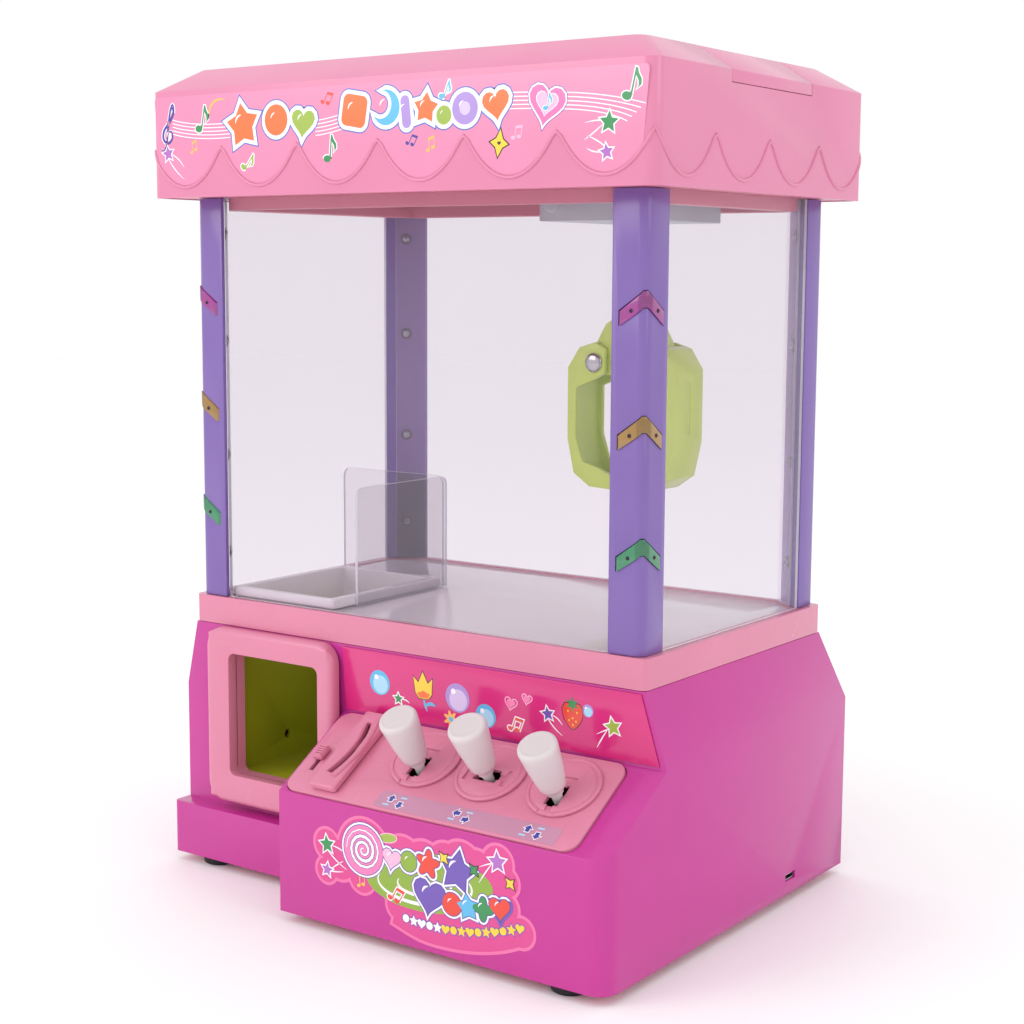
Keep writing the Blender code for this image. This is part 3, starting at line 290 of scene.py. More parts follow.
def twisted(name, colour):
    """Cord of twisted yarn: fine fibres along the strands."""
    finish = Finish(name, colour, 0.85)
    fibres = finish.noise(2600.0, 4.0, (1, 1, 0.25))
    finish.set("Base Color", finish.mix(fibres, linear(shade(colour, 0.72)), linear(colour)))
    finish.set("Roughness", 0.78 + fibres * 0.15)
    finish.set("Normal", finish.bump(fibres, 0.06 * MM))
    return finish.material


# ---- Modelling, as by hand ----

MERGE = 0.002 * MM             # corners this close are one
LEVEL = math.radians(0.6)      # faces this level with each other are one


def only(*objects):
    bpy.ops.object.select_all(action="DESELECT")
    for obj in objects:
        obj.select_set(True)
    bpy.context.view_layer.objects.active = objects[0]


def settle(obj, place=None):
    """Moves an object by a matrix, and puts its place in its mesh."""
    if place is not None:
        obj.matrix_world = place @ obj.matrix_world
    only(obj)
    bpy.ops.object.transform_apply(location=True, rotation=True, scale=True)
    return obj


def block(name, low, high):
    bpy.ops.object.select_all(action="DESELECT")
    low, high = Vector(low), Vector(high)
    bpy.ops.mesh.primitive_cube_add(size=1, location=(low + high) / 2)
    obj = bpy.context.object
    obj.name, obj.scale = name, high - low
    return settle(obj)


def pick(obj, kind, test):
    """Opens the object for editing, with only the faces or edges selected that pass a test.

    The test is given their middle, and a face's normal or an edge's direction."""
    only(obj)
    bpy.ops.object.mode_set(mode="EDIT")
    bpy.ops.mesh.select_mode(type=kind)
    bpy.ops.mesh.select_all(action="DESELECT")
    bm = bmesh.from_edit_mesh(obj.data)
    if kind == "FACE":
        for face in bm.faces:
            face.select_set(bool(test(face.calc_center_median(), face.normal)))
    else:
        for edge in bm.edges:
            a, b = (corner.co for corner in edge.verts)
            edge.select_set(bool(test((a + b) / 2, (b - a).normalized())))
    bm.select_flush_mode()
    bmesh.update_edit_mesh(obj.data)


def shut():
    bpy.ops.object.mode_set(mode="OBJECT")


def upright(_, direction):
    return abs(direction.z) > 0.99


def raise_face(distance, size=None):
    """Extrudes the selected level face upwards, and resizes the new one about its middle."""
    bpy.ops.mesh.extrude_region_move(TRANSFORM_OT_translate={"value": (0, 0, distance)})
    if size:
        bpy.ops.transform.resize(value=size)


def apply(obj, kind, **settings):
    only(obj)
    modifier = obj.modifiers.new(kind.lower(), kind)
    for name, value in settings.items():
        setattr(modifier, name, value)
    bpy.ops.object.modifier_apply(modifier=modifier.name)
    return obj


def soften(obj, width, segments=2, angle=35):
    return apply(obj, "BEVEL", width=width, segments=segments, limit_method="ANGLE",
                 angle_limit=math.radians(angle), harden_normals=False)


def cut(obj, cutter):
    """Cuts one piece out of another, and removes the cutter."""
    apply(obj, "BOOLEAN", object=cutter, operation="DIFFERENCE", solver="EXACT")
    bpy.data.objects.remove(cutter, do_unlink=True)
    return obj


def join(name, parts):
    only(*parts)
    bpy.ops.object.join()
    parts[0].name = name
    return parts[0]


def whole_faces(obj):
    """Merges the corners that lie together, and the level triangles into whole faces."""
    pick(obj, "FACE", lambda *_: True)
    bpy.ops.mesh.remove_doubles(threshold=MERGE)
    bpy.ops.mesh.dissolve_limited(angle_limit=LEVEL)


def from_node(node):
    """A copy of a CAD node's mesh, with its triangles merged into whole faces."""
    copy = frame["nodes"][node].copy()
    copy.data = copy.data.copy()
    for key in list(copy.keys()):
        if key.startswith("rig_"):
            del copy[key]
    copy.parent = None
    bpy.context.scene.collection.objects.link(copy)
    copy.name = node + "_finished"
    copy.data.materials.clear()
    whole_faces(copy)
    shut()
    return copy


def outline_curve(name, outlines, depth):
    """A flat filled curve with depth, the first outline solid and the rest holes in it."""
    curve = bpy.data.curves.new(name, "CURVE")
    curve.dimensions = "2D"
    curve.fill_mode = "BOTH"
    curve.extrude = depth / 2
    for outline in outlines:
        spline = curve.splines.new("POLY")
        spline.points.add(len(outline) - 1)
        spline.use_cyclic_u = True
        for point, (u, v) in zip(spline.points, outline):
            point.co = (u, v, 0, 1)
    obj = bpy.data.objects.new(name, curve)
    bpy.context.scene.collection.objects.link(obj)
    return obj


def plate(name, outlines, low, high, place):
    """Flat outlines, the first solid and the rest holes in it, given depth in a face's frame."""
    obj = outline_curve(name, outlines, high - low)
    obj.matrix_world = place @ Matrix.Translation((0, 0, (low + high) / 2))
    only(obj)
    bpy.ops.object.convert(target="MESH")
    settle(obj)
    whole_faces(obj)
    bpy.ops.mesh.normals_make_consistent(inside=False)
    shut()
    return obj


def turned(name, profile, place, sides=48):
    """A round piece, raised ring by ring from a filled circle through (radius, height) points."""
    bpy.ops.object.select_all(action="DESELECT")
    radius, height = profile[0]
    bpy.ops.mesh.primitive_circle_add(vertices=sides, radius=radius, fill_type="NGON",
                                      location=(0, 0, height))
    obj = bpy.context.object
    obj.name = name
    bpy.ops.object.mode_set(mode="EDIT")
    for new_radius, new_height in profile[1:]:
        bpy.ops.mesh.extrude_region_move(TRANSFORM_OT_translate={"value": (0, 0, new_height - height)})
        share = new_radius / radius
        bpy.ops.transform.resize(value=(share, share, 1))
        radius, height = new_radius, new_height
    bpy.ops.mesh.select_all(action="SELECT")
    bpy.ops.mesh.normals_make_consistent(inside=False)
    shut()
    return settle(obj, place)


def tube(name, points, radius, sides=3, cyclic=False):
    """A round bar along a smooth route."""
    curve = bpy.data.curves.new(name, "CURVE")
    curve.dimensions = "3D"
    curve.bevel_depth, curve.bevel_resolution = radius, sides
    curve.use_fill_caps = True
    spline = curve.splines.new("POLY")
    spline.points.add(len(points) - 1)
    spline.use_cyclic_u = cyclic
    for point, place in zip(spline.points, points):
        point.co = (*place, 1)
    obj = bpy.data.objects.new(name, curve)
    bpy.context.scene.collection.objects.link(obj)
    only(obj)
    bpy.ops.object.convert(target="MESH")
    pick(obj, "FACE", lambda *_: True)
    bpy.ops.mesh.remove_doubles(threshold=0.001 * MM)
    bpy.ops.mesh.normals_make_consistent(inside=False)
    shut()
    return obj


def finished(obj, material, body="cabinet", stands_for=(), angle=30):
    """The last step of every new piece; one without a body is left without a parent."""
    only(obj)
    bpy.ops.object.shade_smooth_by_angle(angle=math.radians(angle))
    if material:
        obj.data.materials.clear()
        obj.data.materials.append(material)
    obj.data.name = obj.name
    if body:
        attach(obj, body)
    if stands_for:
        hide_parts(*stands_for)
    return obj


# ---- Outlines, as (u, v) points ----

def arc(centre, radius, start, end, steps=8):
    turn = [math.radians(start + (end - start) * i / steps) for i in range(steps + 1)]
    rx, ry = radius if isinstance(radius, tuple) else (radius, radius)
    return [(centre[0] + rx * math.cos(a), centre[1] + ry * math.sin(a)) for a in turn]


def rounded(low, high, radius, steps=6):
    (u0, v0), (u1, v1), r = low, high, radius
    return (arc((u1 - r, v0 + r), r, -90, 0, steps) + arc((u1 - r, v1 - r), r, 0, 90, steps)
            + arc((u0 + r, v1 - r), r, 90, 180, steps) + arc((u0 + r, v0 + r), r, 180, 270, steps))


def disc(centre, radius, steps=28):
    return arc(centre, radius, 0, 360 * (steps - 1) / steps, steps - 1)


def grown(outline, by):
    """An outline moved out by a distance, with its corners kept."""
    count = len(outline)
    area = sum(outline[i - 1][0] * outline[i][1] - outline[i][0] * outline[i - 1][1] for i in range(count))
    side = math.copysign(1.0, area)
    points = []
    for i in range(count):
        before, here, after = (Vector(outline[(i + k) % count]) for k in (-1, 0, 1))
        first, second = (here - before).normalized(), (after - here).normalized()
        normal = Vector((first.y + second.y, -first.x - second.x)).normalized() * side
        spread = max(0.5, normal.dot(Vector((first.y, -first.x)) * side))
        points.append(tuple(here + normal * by / spread))
    return points


def placed(outline, centre, size=1.0, turn=0.0):
    c, s = math.cos(math.radians(turn)) * size, math.sin(math.radians(turn)) * size
    return [(centre[0] + u * c - v * s, centre[1] + u * s + v * c) for u, v in outline]


def star(points=5, inner=0.47):
    return [((1 if i % 2 == 0 else inner) * math.sin(math.pi * i / points),
             (1 if i % 2 == 0 else inner) * math.cos(math.pi * i / points)) for i in range(2 * points)]


def heart(steps=24):
    turn = [2 * math.pi * i / steps for i in range(steps)]
    return [(math.sin(a) ** 3, (13 * math.cos(a) - 5 * math.cos(2 * a) - 2 * math.cos(3 * a)
                                - math.cos(4 * a)) / 16) for a in turn]


def petals(count=6, depth=0.22, steps=48):
    turn = [2 * math.pi * i / steps for i in range(steps)]
    return [((1 - depth + depth * math.cos(count * a)) * math.cos(a),
             (1 - depth + depth * math.cos(count * a)) * math.sin(a)) for a in turn]


def crescent():
    outer = arc((0, 0), 1, 50, 310, 20)
    return outer + arc((0.42, 0), (0.78, 0.80), 282, 78, 16)


def ribbon(points, width, taper=True):
    """A stroke along points, which thins towards both ends."""
    last = len(points) - 1
    left, right = [], []
    for i, point in enumerate(points):
        here = Vector(point)
        along = (Vector(points[min(i + 1, last)]) - Vector(points[max(i - 1, 0)])).normalized()
        half = width / 2 * ((0.25 + 0.75 * math.sin(math.pi * i / last)) if taper else 1.0)
        side = Vector((-along.y, along.x)) * half
        left.append(tuple(here + side))
        right.append(tuple(here - side))
    return left + right[::-1]


def note():
    """A quaver as one outline: its head, stem and flag."""
    head = arc((-0.10, -0.72), (0.34, 0.25), 40, 330, 14)
    stem = [(0.24, -0.68), (0.22, 0.55), (0.46, 0.30), (0.55, 0.02), (0.48, -0.20), (0.72, 0.10),
            (0.66, 0.42), (0.38, 0.72), (0.24, 1.00), (0.10, 1.00), (0.12, -0.56)]
    return head + stem


def double_note():
    heads = arc((-0.50, -0.70), (0.32, 0.24), 40, 330, 12)
    bridge = [(-0.18, -0.66), (-0.18, 0.45), (0.58, 0.62), (0.58, -0.28)]
    second = arc((0.34, -0.46), (0.32, 0.24), 50, 330, 12)
    return heads + bridge + second + [(0.68, -0.44), (0.72, 1.00), (-0.30, 0.76), (-0.30, -0.56)]


def swoosh(start, bend, end, steps=10):
    a, b, c = Vector(start), Vector(bend), Vector(end)
    return [tuple(a * (1 - t) ** 2 + b * 2 * t * (1 - t) + c * t * t) for t in (i / steps for i in range(steps + 1))]


# ---- Printed stickers ----

INKS = {}
INK_COLOURS = {
    "white": (0.97, 0.96, 0.98), "blue": (0.30, 0.42, 0.78), "navy": (0.24, 0.25, 0.62),
    "sky": (0.36, 0.72, 0.90), "orange": (0.96, 0.45, 0.22), "red": (0.90, 0.27, 0.20),
    "green": (0.20, 0.56, 0.32), "leaf": (0.62, 0.72, 0.28), "lime": (0.55, 0.68, 0.22),
    "violet": (0.44, 0.33, 0.70), "lilac": (0.68, 0.56, 0.84), "yellow": (0.96, 0.82, 0.24),
    "gold": (0.97, 0.74, 0.36), "pink": (0.95, 0.45, 0.70),
    "pale_pink": (0.98, 0.72, 0.84), "purple": (0.70, 0.42, 0.76), "pale_blue": (0.66, 0.85, 0.95),
    "pearl": (0.84, 0.76, 0.92), "rose": (0.98, 0.50, 0.72), "black": (0.16, 0.10, 0.16),
    "canopy_pink": (0.900, 0.540, 0.690), "art_pink": (0.830, 0.160, 0.480),
    "body_pink": (0.860, 0.270, 0.560), "edge_pink": (0.920, 0.440, 0.660),
}


class Sticker:
    """Printed shapes in layers on one face, joined into one thin piece."""

    FILM = 0.05 * MM
    LAYER = 0.018 * MM

    def __init__(self, name, place):
        self.name, self.place, self.shapes = name, place, []

    def add(self, colour, layer, *outlines):
        """One shape: its outline in millimetres, and any holes in it."""
        outlines = [[(u * MM, v * MM) for u, v in outline] for outline in outlines]
        shape = outline_curve(self.name + "_" + colour, outlines, self.FILM + layer * self.LAYER)
        height = (self.FILM + layer * self.LAYER) / 2
        shape.matrix_world = self.place @ Matrix.Translation((0, 0, height))
        if colour not in INKS:
            INKS[colour] = ink("ink_" + colour, INK_COLOURS[colour])
        shape.data.materials.append(INKS[colour])
        self.shapes.append(shape)

    def bordered(self, colour, border, layer, outline, width=0.5):
        """A shape with a printed border round it."""
        self.add(border, layer, grown(outline, width))
        self.add(colour, layer + 1, outline)

    def gleam(self, layer, centre, size, bend, end, width):
        """A curved light gleam at a shape's upper left; its reaches are shares of the shape's size."""
        u, v = centre
        route = swoosh((u - size * 0.45, v + size * 0.1), (u - size * bend, v + size * 0.42),
                       (u - size * end, v + size * 0.46))
        self.add("white", layer, ribbon(route, size * width))

    def shooting(self, colour, centre, size, turn, tail, layer=1):
        """A star with a white border and two tail lines, which reach away by tail."""
        u, v = centre
        for side in (-0.45, 0.45):
            start = (u + side * size * 0.9 * (1 if tail[1] else 0), v + side * size * (0 if tail[1] else 1))
            end = (u + tail[0] + side * size * 1.6 * (abs(tail[1]) > abs(tail[0])),
                   v + tail[1] + side * size * 1.6 * (abs(tail[0]) >= abs(tail[1])))
            bend = ((start[0] + end[0]) / 2 + side * size * 0.8, (start[1] + end[1]) / 2 + side * size * 0.8)
            self.add("white", layer, ribbon(swoosh(start, bend, end), 0.55))
        self.bordered(colour, "white", layer + 1, placed(star(), centre, size, turn), 0.55)

    def finish(self, slot):
        """Joins the shapes into one printed piece of the cabinet."""
        only(*self.shapes)
        bpy.ops.object.convert(target="MESH")
        shapes = list(bpy.context.selected_objects)
        only(*shapes)
        bpy.ops.object.join()
        obj = bpy.context.object
        obj.name = self.name
        settle(obj)
        pick(obj, "FACE", lambda *_: True)
        bpy.ops.mesh.remove_doubles(threshold=0.0005 * MM)
        shut()
        return finished(obj, None)


# ---- Finishes of this machine ----

LIGHT_PINK = moulded("light_pink_plastic", (0.850, 0.510, 0.625), 0.26)
CANOPY_PINK = moulded("canopy_pink_plastic", (0.862, 0.515, 0.650), 0.24, flow=0.16)
MAGENTA = moulded("magenta_plastic", (0.765, 0.200, 0.575), 0.22, flow=0.16)
# Deep pink: the bottom plate's and coin channel's own colour; on the canopy liner it is painted shade, a darker copy
# of the canopy's pink that stands in for the shade under the canopy.
DEEP_PINK_AND_PAINTED_SHADE = moulded("deep_pink_plastic", (0.840, 0.470, 0.560), 0.40)
PURPLE = moulded("purple_plastic", (0.490, 0.380, 0.660), 0.24)
LIME = moulded("lime_plastic", (0.780, 0.860, 0.390), 0.30, grain=0.018)
OLIVE = moulded("prize_box_plastic", (0.600, 0.630, 0.120), 0.38)
WHITE = moulded("white_plastic", (0.840, 0.800, 0.808), 0.34)
PALE = moulded("floor_plastic", (0.920, 0.895, 0.915), 0.10, grain=0.004, flow=0.06)
GREY = moulded("grey_plastic", (0.760, 0.775, 0.805), 0.42)
DARK = rubber("black_rubber", (0.10, 0.10, 0.11))
STEEL = metal("plated_steel", (0.78, 0.77, 0.78), 0.24)
DARK_STEEL = metal("dark_steel", (0.30, 0.26, 0.30), 0.38)
DRAWN_STEEL = metal("drawn_steel", (0.70, 0.70, 0.72), 0.30, (1, 0.02, 1))
BOARD = moulded("green_board", (0.12, 0.42, 0.22), 0.35)
CLEAR = sheet_plastic("clear_sheet", (0.978, 0.970, 0.978), 0.008)
# The rear sheet's bent flanges: partly a real haze, partly painted light; the lavender veil stands in for the light
# on the pillars seen through them.
CLEAR_FLANGE = sheet_plastic("clear_sheet_flange", (0.99, 0.98, 0.99), 0.10, 0.03, (0.90, 0.80, 1.0))
CLEAR_EDGE = sheet_plastic("clear_sheet_edge", (0.80, 0.80, 0.86), 0.45, 0.12)
FILM = sheet_plastic("matt_clear_film", (0.97, 0.95, 0.98), 0.42, 0.25, (0.86, 0.62, 0.74))
CORD_WHITE = twisted("white_cord", (0.93, 0.93, 0.92))
LENSES = {"upper": lens("magenta_lens", (0.56, 0.06, 0.50)),
          "middle": lens("amber_lens", (0.58, 0.42, 0.10)),
          "lower": lens("green_lens", (0.03, 0.48, 0.30))}
LENS_SLOTS = {"upper": "lens_magenta", "middle": "lens_amber", "lower": "lens_green"}


def two_finishes(obj, first, second, test):
    """Gives the faces that pass a test the second finish, and the rest the first."""
    obj.data.materials.clear()
    obj.data.materials.append(first)
    obj.data.materials.append(second)
    pick(obj, "FACE", test)
    obj.active_material_index = 1
    bpy.ops.object.material_slot_assign()
    shut()
    return obj


def refined(node, material, slot, width, body="cabinet", segments=2, angle=30):
    """A CAD node with rounded edges and its own finish."""
    obj = soften(from_node(node), width, segments, angle)
    return finished(obj, material, body, (node,))


def screw(name, place, radius, material):
    """A pan head with a cross recess."""
    head = turned(name, [(radius, 0), (radius, radius * 0.28), (radius * 0.82, radius * 0.52),
                         (radius * 0.5, radius * 0.64)], Matrix(), 20)
    for turn in (0, 90):
        arm = block("recess", (-radius * 0.55, -radius * 0.10, radius * 0.25),
                    (radius * 0.55, radius * 0.10, radius))
        cut(head, settle(arm, Matrix.Rotation(math.radians(turn), 4, "Z")))
    return finished(settle(head, place), material)


# ---- Canopy ----

WALL = 2.4 * MM
EAVES = 10.2 * MM          # height of the roof slopes
ROOF_RUN = Vector((15.9, 14.9)) * MM
CORNER = 6 * MM
SCALLOP_LOW, SCALLOP_DEPTH = 4.4 * MM, 16.8 * MM
SCALLOPS = (6, 4)          # across the front and along a side
BEAD = 0.75 * MM


def scallop(share):
    """Height of the bead above the canopy's lower edge, over one scallop."""
    bow, least, most = ((math.sin(math.pi * t) ** 2 + 0.025) ** 0.25 for t in (share, 0, 0.5))
    return SCALLOP_LOW + SCALLOP_DEPTH * (most - bow) / (most - least)


def bead_path(steps=22):
    """The scalloped line round the canopy, which rounds the corners with it."""
    low, high = CANOPY_LOW, CANOPY_HIGH
    corners = [Vector((low.x, low.y)), Vector((high.x, low.y)), Vector((high.x, high.y)), Vector((low.x, high.y))]
    points = []
    for i in range(4):
        start, end, count = corners[i], corners[(i + 1) % 4], SCALLOPS[i % 2]
        for k in range(count * steps):
            at = start.lerp(end, k / (count * steps))
            core = Vector((max(low.x + CORNER, min(high.x - CORNER, at.x)),
                           max(low.y + CORNER, min(high.y - CORNER, at.y))))
            off = at - core
            if abs(off.x) > 1e-6 and abs(off.y) > 1e-6:
                at = core + off.normalized() * CORNER
            points.append((at.x, at.y, low.z + scallop(k / steps % 1.0)))
    return points


def canopy():
    low, high = CANOPY_LOW, CANOPY_HIGH
    shell = block("canopy", low, (high.x, high.y, high.z - EAVES))
    pick(shell, "EDGE", upright)
    bpy.ops.mesh.bevel(offset=CORNER, segments=10, affect="EDGES")
    shut()
    pick(shell, "FACE", lambda _, normal: normal.z > 0.9)
    size = [1 - 2 * run / (b - a) for run, a, b in zip(ROOF_RUN, low, high)]
    raise_face(EAVES, (size[0], size[1], 1))
    shut()
    pick(shell, "FACE", lambda _, normal: normal.z < -0.9)
    bpy.ops.mesh.delete(type="FACE")
    shut()
    apply(shell, "SOLIDIFY", thickness=WALL, offset=-1, use_even_offset=True)
    lid_low, lid_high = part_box("roof_lid")
    gap = 0.3 * MM
    cut(shell, block("hatch", (lid_low.x - gap, lid_low.y - gap, lid_low.z - gap),
                     (lid_high.x + 0.01, lid_high.y + gap, lid_high.z + 0.01)))
    soften(shell, 1.1 * MM, 3, 24)
    finished(shell, CANOPY_PINK, stands_for=("canopy_shell",), angle=40)
    bead = tube("canopy_scallop_bead", bead_path(), BEAD, 3, cyclic=True)
    finished(bead, CANOPY_PINK, angle=80)
    refined("roof_lid", CANOPY_PINK, "light_pink", 0.7 * MM, "roof_lid", 3, 24)
    # The liner is the canopy's pink plastic; its deeper, redder pink is painted shade for the shade it sits in under
    # the canopy.
    refined("canopy_liner", DEEP_PINK_AND_PAINTED_SHADE, "deep_pink", 0.6 * MM)


def canopy_print():
    """Music lines, notes, shooting stars and a row of plump shapes on a bright band, in millimetres."""
    sheet = Sticker("canopy_print", CANOPY_FRONT)
    half = (CANOPY_HIGH.x - CORNER * 0.55) / MM
    top = (CANOPY_HIGH.z - EAVES) / MM - 2.6
    floor = CANOPY_LOW.z / MM
    pitch = CANOPY_HIGH.x * 2 / SCALLOPS[0] / MM
    steps = 16
    lower = []
    for k in range(SCALLOPS[0] * steps + 1):
        u = CANOPY_LOW.x / MM + pitch * k / steps
        if abs(u) <= half:
            lower.append((u, floor + scallop(k / steps % 1.0) / MM + 1.1))
    upper = arc((half - 2, top - 2), 2, 0, 90, 5) + arc((2 - half, top - 2), 2, 90, 180, 5)
    sheet.add("canopy_pink", 0, lower + upper)

    for i in range(5):
        drop = 1.55 * i
        for line in (((-119.5, 347), (-106, 343.6), (-84, 344.3)), ((-34, 343.2), (-26, 343.6), (-17, 345.8)),
                     ((66, 349.6), (80, 349.3), (92, 348.4)), ((92, 348.4), (112, 347.2), (129.2 - i * 2.0, 342.6))):
            sheet.add("white", 1, ribbon(swoosh(*((u, v - drop) for u, v in line)), 0.42, False))

    clef = [(-127.6, 334.6), (-125.2, 333.6), (-123.4, 337.0), (-122.4, 343.5), (-121.0, 350.5), (-119.4, 353.6),
            (-118.9, 350.2), (-121.0, 346.6), (-125.0, 342.4), (-125.3, 338.6), (-122.4, 336.8), (-119.8, 338.8),
            (-120.2, 341.8), (-122.6, 341.6), (-123.2, 339.8)]
    sheet.add("white", 2, ribbon(smooth(clef), 2.3))
    sheet.add("navy", 3, ribbon(smooth(clef), 1.3))

    for colour, centre, size, turn in (
            ("green", (-101.5, 346.7), 6.2, -12), ("green", (-26.6, 331.2), 5.8, -6),
            ("green", (122.6, 350.0), 6.4, -14), ("leaf", (-73.6, 327.3), 4.6, -40),
            ("sky", (35.0, 352.4), 4.2, -24)):
        sheet.bordered(colour, "white", 2, placed(note(), centre, size, turn), 0.5)
    for colour, centre, size, turn in (("gold", (-106.4, 334.7), 3.0, 10), ("gold", (27.7, 331.3), 3.2, 8),
                                       ("red", (-27.4, 352.0), 3.4, -28), ("navy", (18.0, 333.1), 3.0, -30),
                                       ("pale_pink", (70.6, 334.2), 3.2, -8)):
        sheet.add(colour, 2, placed(double_note(), centre, size, turn))
    sheet.add("gold", 2, ribbon(swoosh((-96.9, 346.5), (-96.5, 356.5), (-86.5, 354.4)), 1.2))
    sheet.shooting("purple", (-122.6, 332.2), 3.6, 10, (10, -9))
    sheet.shooting("green", (113.1, 336.4), 4.4, -4, (-11, -3))
    sheet.shooting("purple", (112.2, 325.4), 3.2, 8, (-9, 4))
    diamond = [(0, 5.4), (1.7, 1.7), (4.4, 0), (1.7, -1.7), (0, -5.4), (-1.7, -1.7), (-4.4, 0), (-1.7, 1.7)]
    sheet.add("black", 2, placed(grown(diamond, 0.5), (62.0, 330.4), 1, -8))
    sheet.add("yellow", 3, placed(diamond, (62.0, 330.4), 1, -8))
    sheet.add("black", 4, placed(heart(), (62.0, 330.4), 0.9))

    plump = (
        ("orange", star(5, 0.60), (-76.2, 343.0), 9.6, 8), ("orange", disc((0, 0), 1), (-56.5, 344.4), 6.6, 0),
        ("leaf", heart(), (-41.0, 343.0), 6.6, -6),
        ("orange", rounded((-0.86, -0.86), (0.86, 0.86), 0.36, 5), (-12.4, 346.2), 7.6, -10),
        ("sky", crescent(), (4.6, 346.8), 7.2, 155),
        ("lilac", rounded((-0.35, -1), (0.35, 1), 0.34), (15.0, 344.6), 6.6, 6),
        ("orange", star(5, 0.60), (25.4, 345.6), 6.4, -6), ("leaf", disc((0, 0), 1), (34.6, 342.4), 3.8, 0),
        ("lilac", disc((0, 0), 1), (45.2, 344.6), 6.4, 0), ("orange", heart(), (60.4, 345.8), 6.6, 8))
    for layer, extra in ((2, 2.2), (3, 1.7)):
        for i, (colour, shape, centre, size, turn) in enumerate(plump):
            outline = grown(placed(shape, centre, size, turn), extra)
            sheet.add("blue" if layer == 2 else "white", layer + i * 0.05, outline)
    for colour, shape, centre, size, turn in plump:
        outline = placed(shape, centre, size, turn)
        sheet.add(colour, 5, outline)
        if shape[0][0] > 0.99 and colour == "lilac":
            sheet.add("pearl", 6, disc(centre, size * 0.42))
        sheet.gleam(7, centre, size, 0.40, 0.10, 0.10)
    badge = placed(heart(), (84.6, 344.8), 8.6, -12)
    sheet.add("violet", 2, grown(badge, 1.0))
    sheet.add("white", 3, grown(badge, 0.7))
    sheet.add("pink", 4, badge, placed(heart(), (84.6, 345.0), 5.4, -12))
    sheet.add("pale_pink", 4, placed(heart(), (84.6, 345.0), 5.0, -12))
    sheet.bordered("sky", "white", 5, placed(note(), (84.8, 345.2), 3.4, -10), 0.3)
    sheet.finish("light_pink")


def smooth(points, steps=5):
    """A flowing line through a few points."""
    count = len(points)
    flow = []
    for i in range(count - 1):
        a, b, c, d = (Vector(points[max(0, min(count - 1, i + k))]) for k in (-1, 0, 1, 2))
        for k in range(steps):
            t = k / steps
            flow.append(tuple((b * 2 + (c - a) * t + (a * 2 - b * 5 + c * 4 - d) * t * t
                               + (b * 3 - a - c * 3 + d) * t ** 3) / 2))
    return flow + [tuple(points[-1])]


# ---- Cabin ----

def pillars():
    for side, sx in SIDES:
        for end in ("front", "rear"):
            refined(f"pillar_{end}_{side}", PURPLE, "purple", 0.5 * MM)
    for side, sx in SIDES:
        for level, glass in LENSES.items():
            node = f"lamp_{side}_{level}"
            refined(node, glass, LENS_SLOTS[level], 0.25 * MM)


def lamp_screws():
    """A small dark screw on each arm of each lamp."""
    along_front, along_side, below_top, sunk = 7.4 * MM, 8.0 * MM, 7.7 * MM, 0.15 * MM
    for side, sx in SIDES:
        for level in LENSES:
            low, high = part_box(f"lamp_{side}_{level}")
            height = high.z - below_top
            outer = high.x if sx > 0 else low.x
            for name, at, across in (("front", (outer - sx * along_front, low.y, height), RIGHT),
                                     ("side", (outer, low.y + along_side, height), (0, sx, 0))):
                place = face_frame(at, across, (0, 0, 1)) @ Matrix.Translation((0, 0, -sunk))
                screw(f"lamp_screw_{side}_{level}_{name}", place, 0.85 * MM, DARK_STEEL)


def pillar_screws():
    """Four screws, each on a washer, down each pillar's inner face."""
    heights, depth = (297, 248, 195, 149), 13.1 * MM      # depth: from the outer corner, on its diagonal
    for side, sx in SIDES:
        for end, sy in (("front", -1), ("rear", 1)):
            x_low, x_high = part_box(f"pillar_{end}_{side}")
            corner = Vector((x_high.x if sx > 0 else x_low.x, x_high.y if sy > 0 else x_low.y, 0))
            inward = Vector((-sx, -sy, 0)).normalized()
            for i, height in enumerate(heights):
                at = corner + inward * depth + Vector((0, 0, height * MM))
                place = face_frame(at, inward.cross(Vector((0, 0, 1))) * -1, (0, 0, 1))
                spot = f"{end}_{side}_{i + 1}"
                washer = turned("pillar_washer_" + spot,
                                [(2.8 * MM, -0.1 * MM), (2.8 * MM, 0.3 * MM), (2.5 * MM, 0.4 * MM)], place, 24)
                finished(washer, DARK_STEEL)
                screw("pillar_screw_" + spot, place, 1.9 * MM, DRAWN_STEEL)


def sheets():
    for node in ("window_front", "window_rear"):
        low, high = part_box(node)
        sheet = from_node(node)
        bend = high.x - 11.5 * MM
        pick(sheet, "EDGE", lambda at, way: upright(at, way) and bend - 2.6 * MM < abs(at.x) < bend + 2.6 * MM)
        bpy.ops.mesh.bevel(offset=1.6 * MM, segments=5, affect="EDGES")
        shut()
        end = high.x - 1.0 * MM
        two_finishes(sheet, CLEAR, CLEAR_EDGE, lambda at, normal: abs(normal.z) > 0.9 or abs(at.x) > end)
        if node == "window_rear":
            sheet.data.materials.append(CLEAR_FLANGE)
            # The flanges get the hazier sheet whose lavender veil is painted light on the pillars behind.
            pick(sheet, "FACE", lambda at, normal: abs(normal.z) < 0.1 and bend < abs(at.x) < end)
            sheet.active_material_index = 2
            bpy.ops.object.material_slot_assign()
            shut()
        finished(sheet, None, stands_for=(node,), angle=45)
    for node in ("window_left", "window_right"):
        sheet = from_node(node)
        two_finishes(sheet, CLEAR, CLEAR_EDGE, lambda at, normal: abs(normal.x) < 0.5)
        finished(sheet, None, stands_for=(node,))
    for node, way in (("chute_fence_side", 0), ("chute_fence_rear", 1)):
        sheet = soften(from_node(node), 0.25 * MM, 2, 60)
        two_finishes(sheet, CLEAR, CLEAR_EDGE, lambda at, normal: abs(normal[way]) < 0.9)
        finished(sheet, None, stands_for=(node,), angle=40)


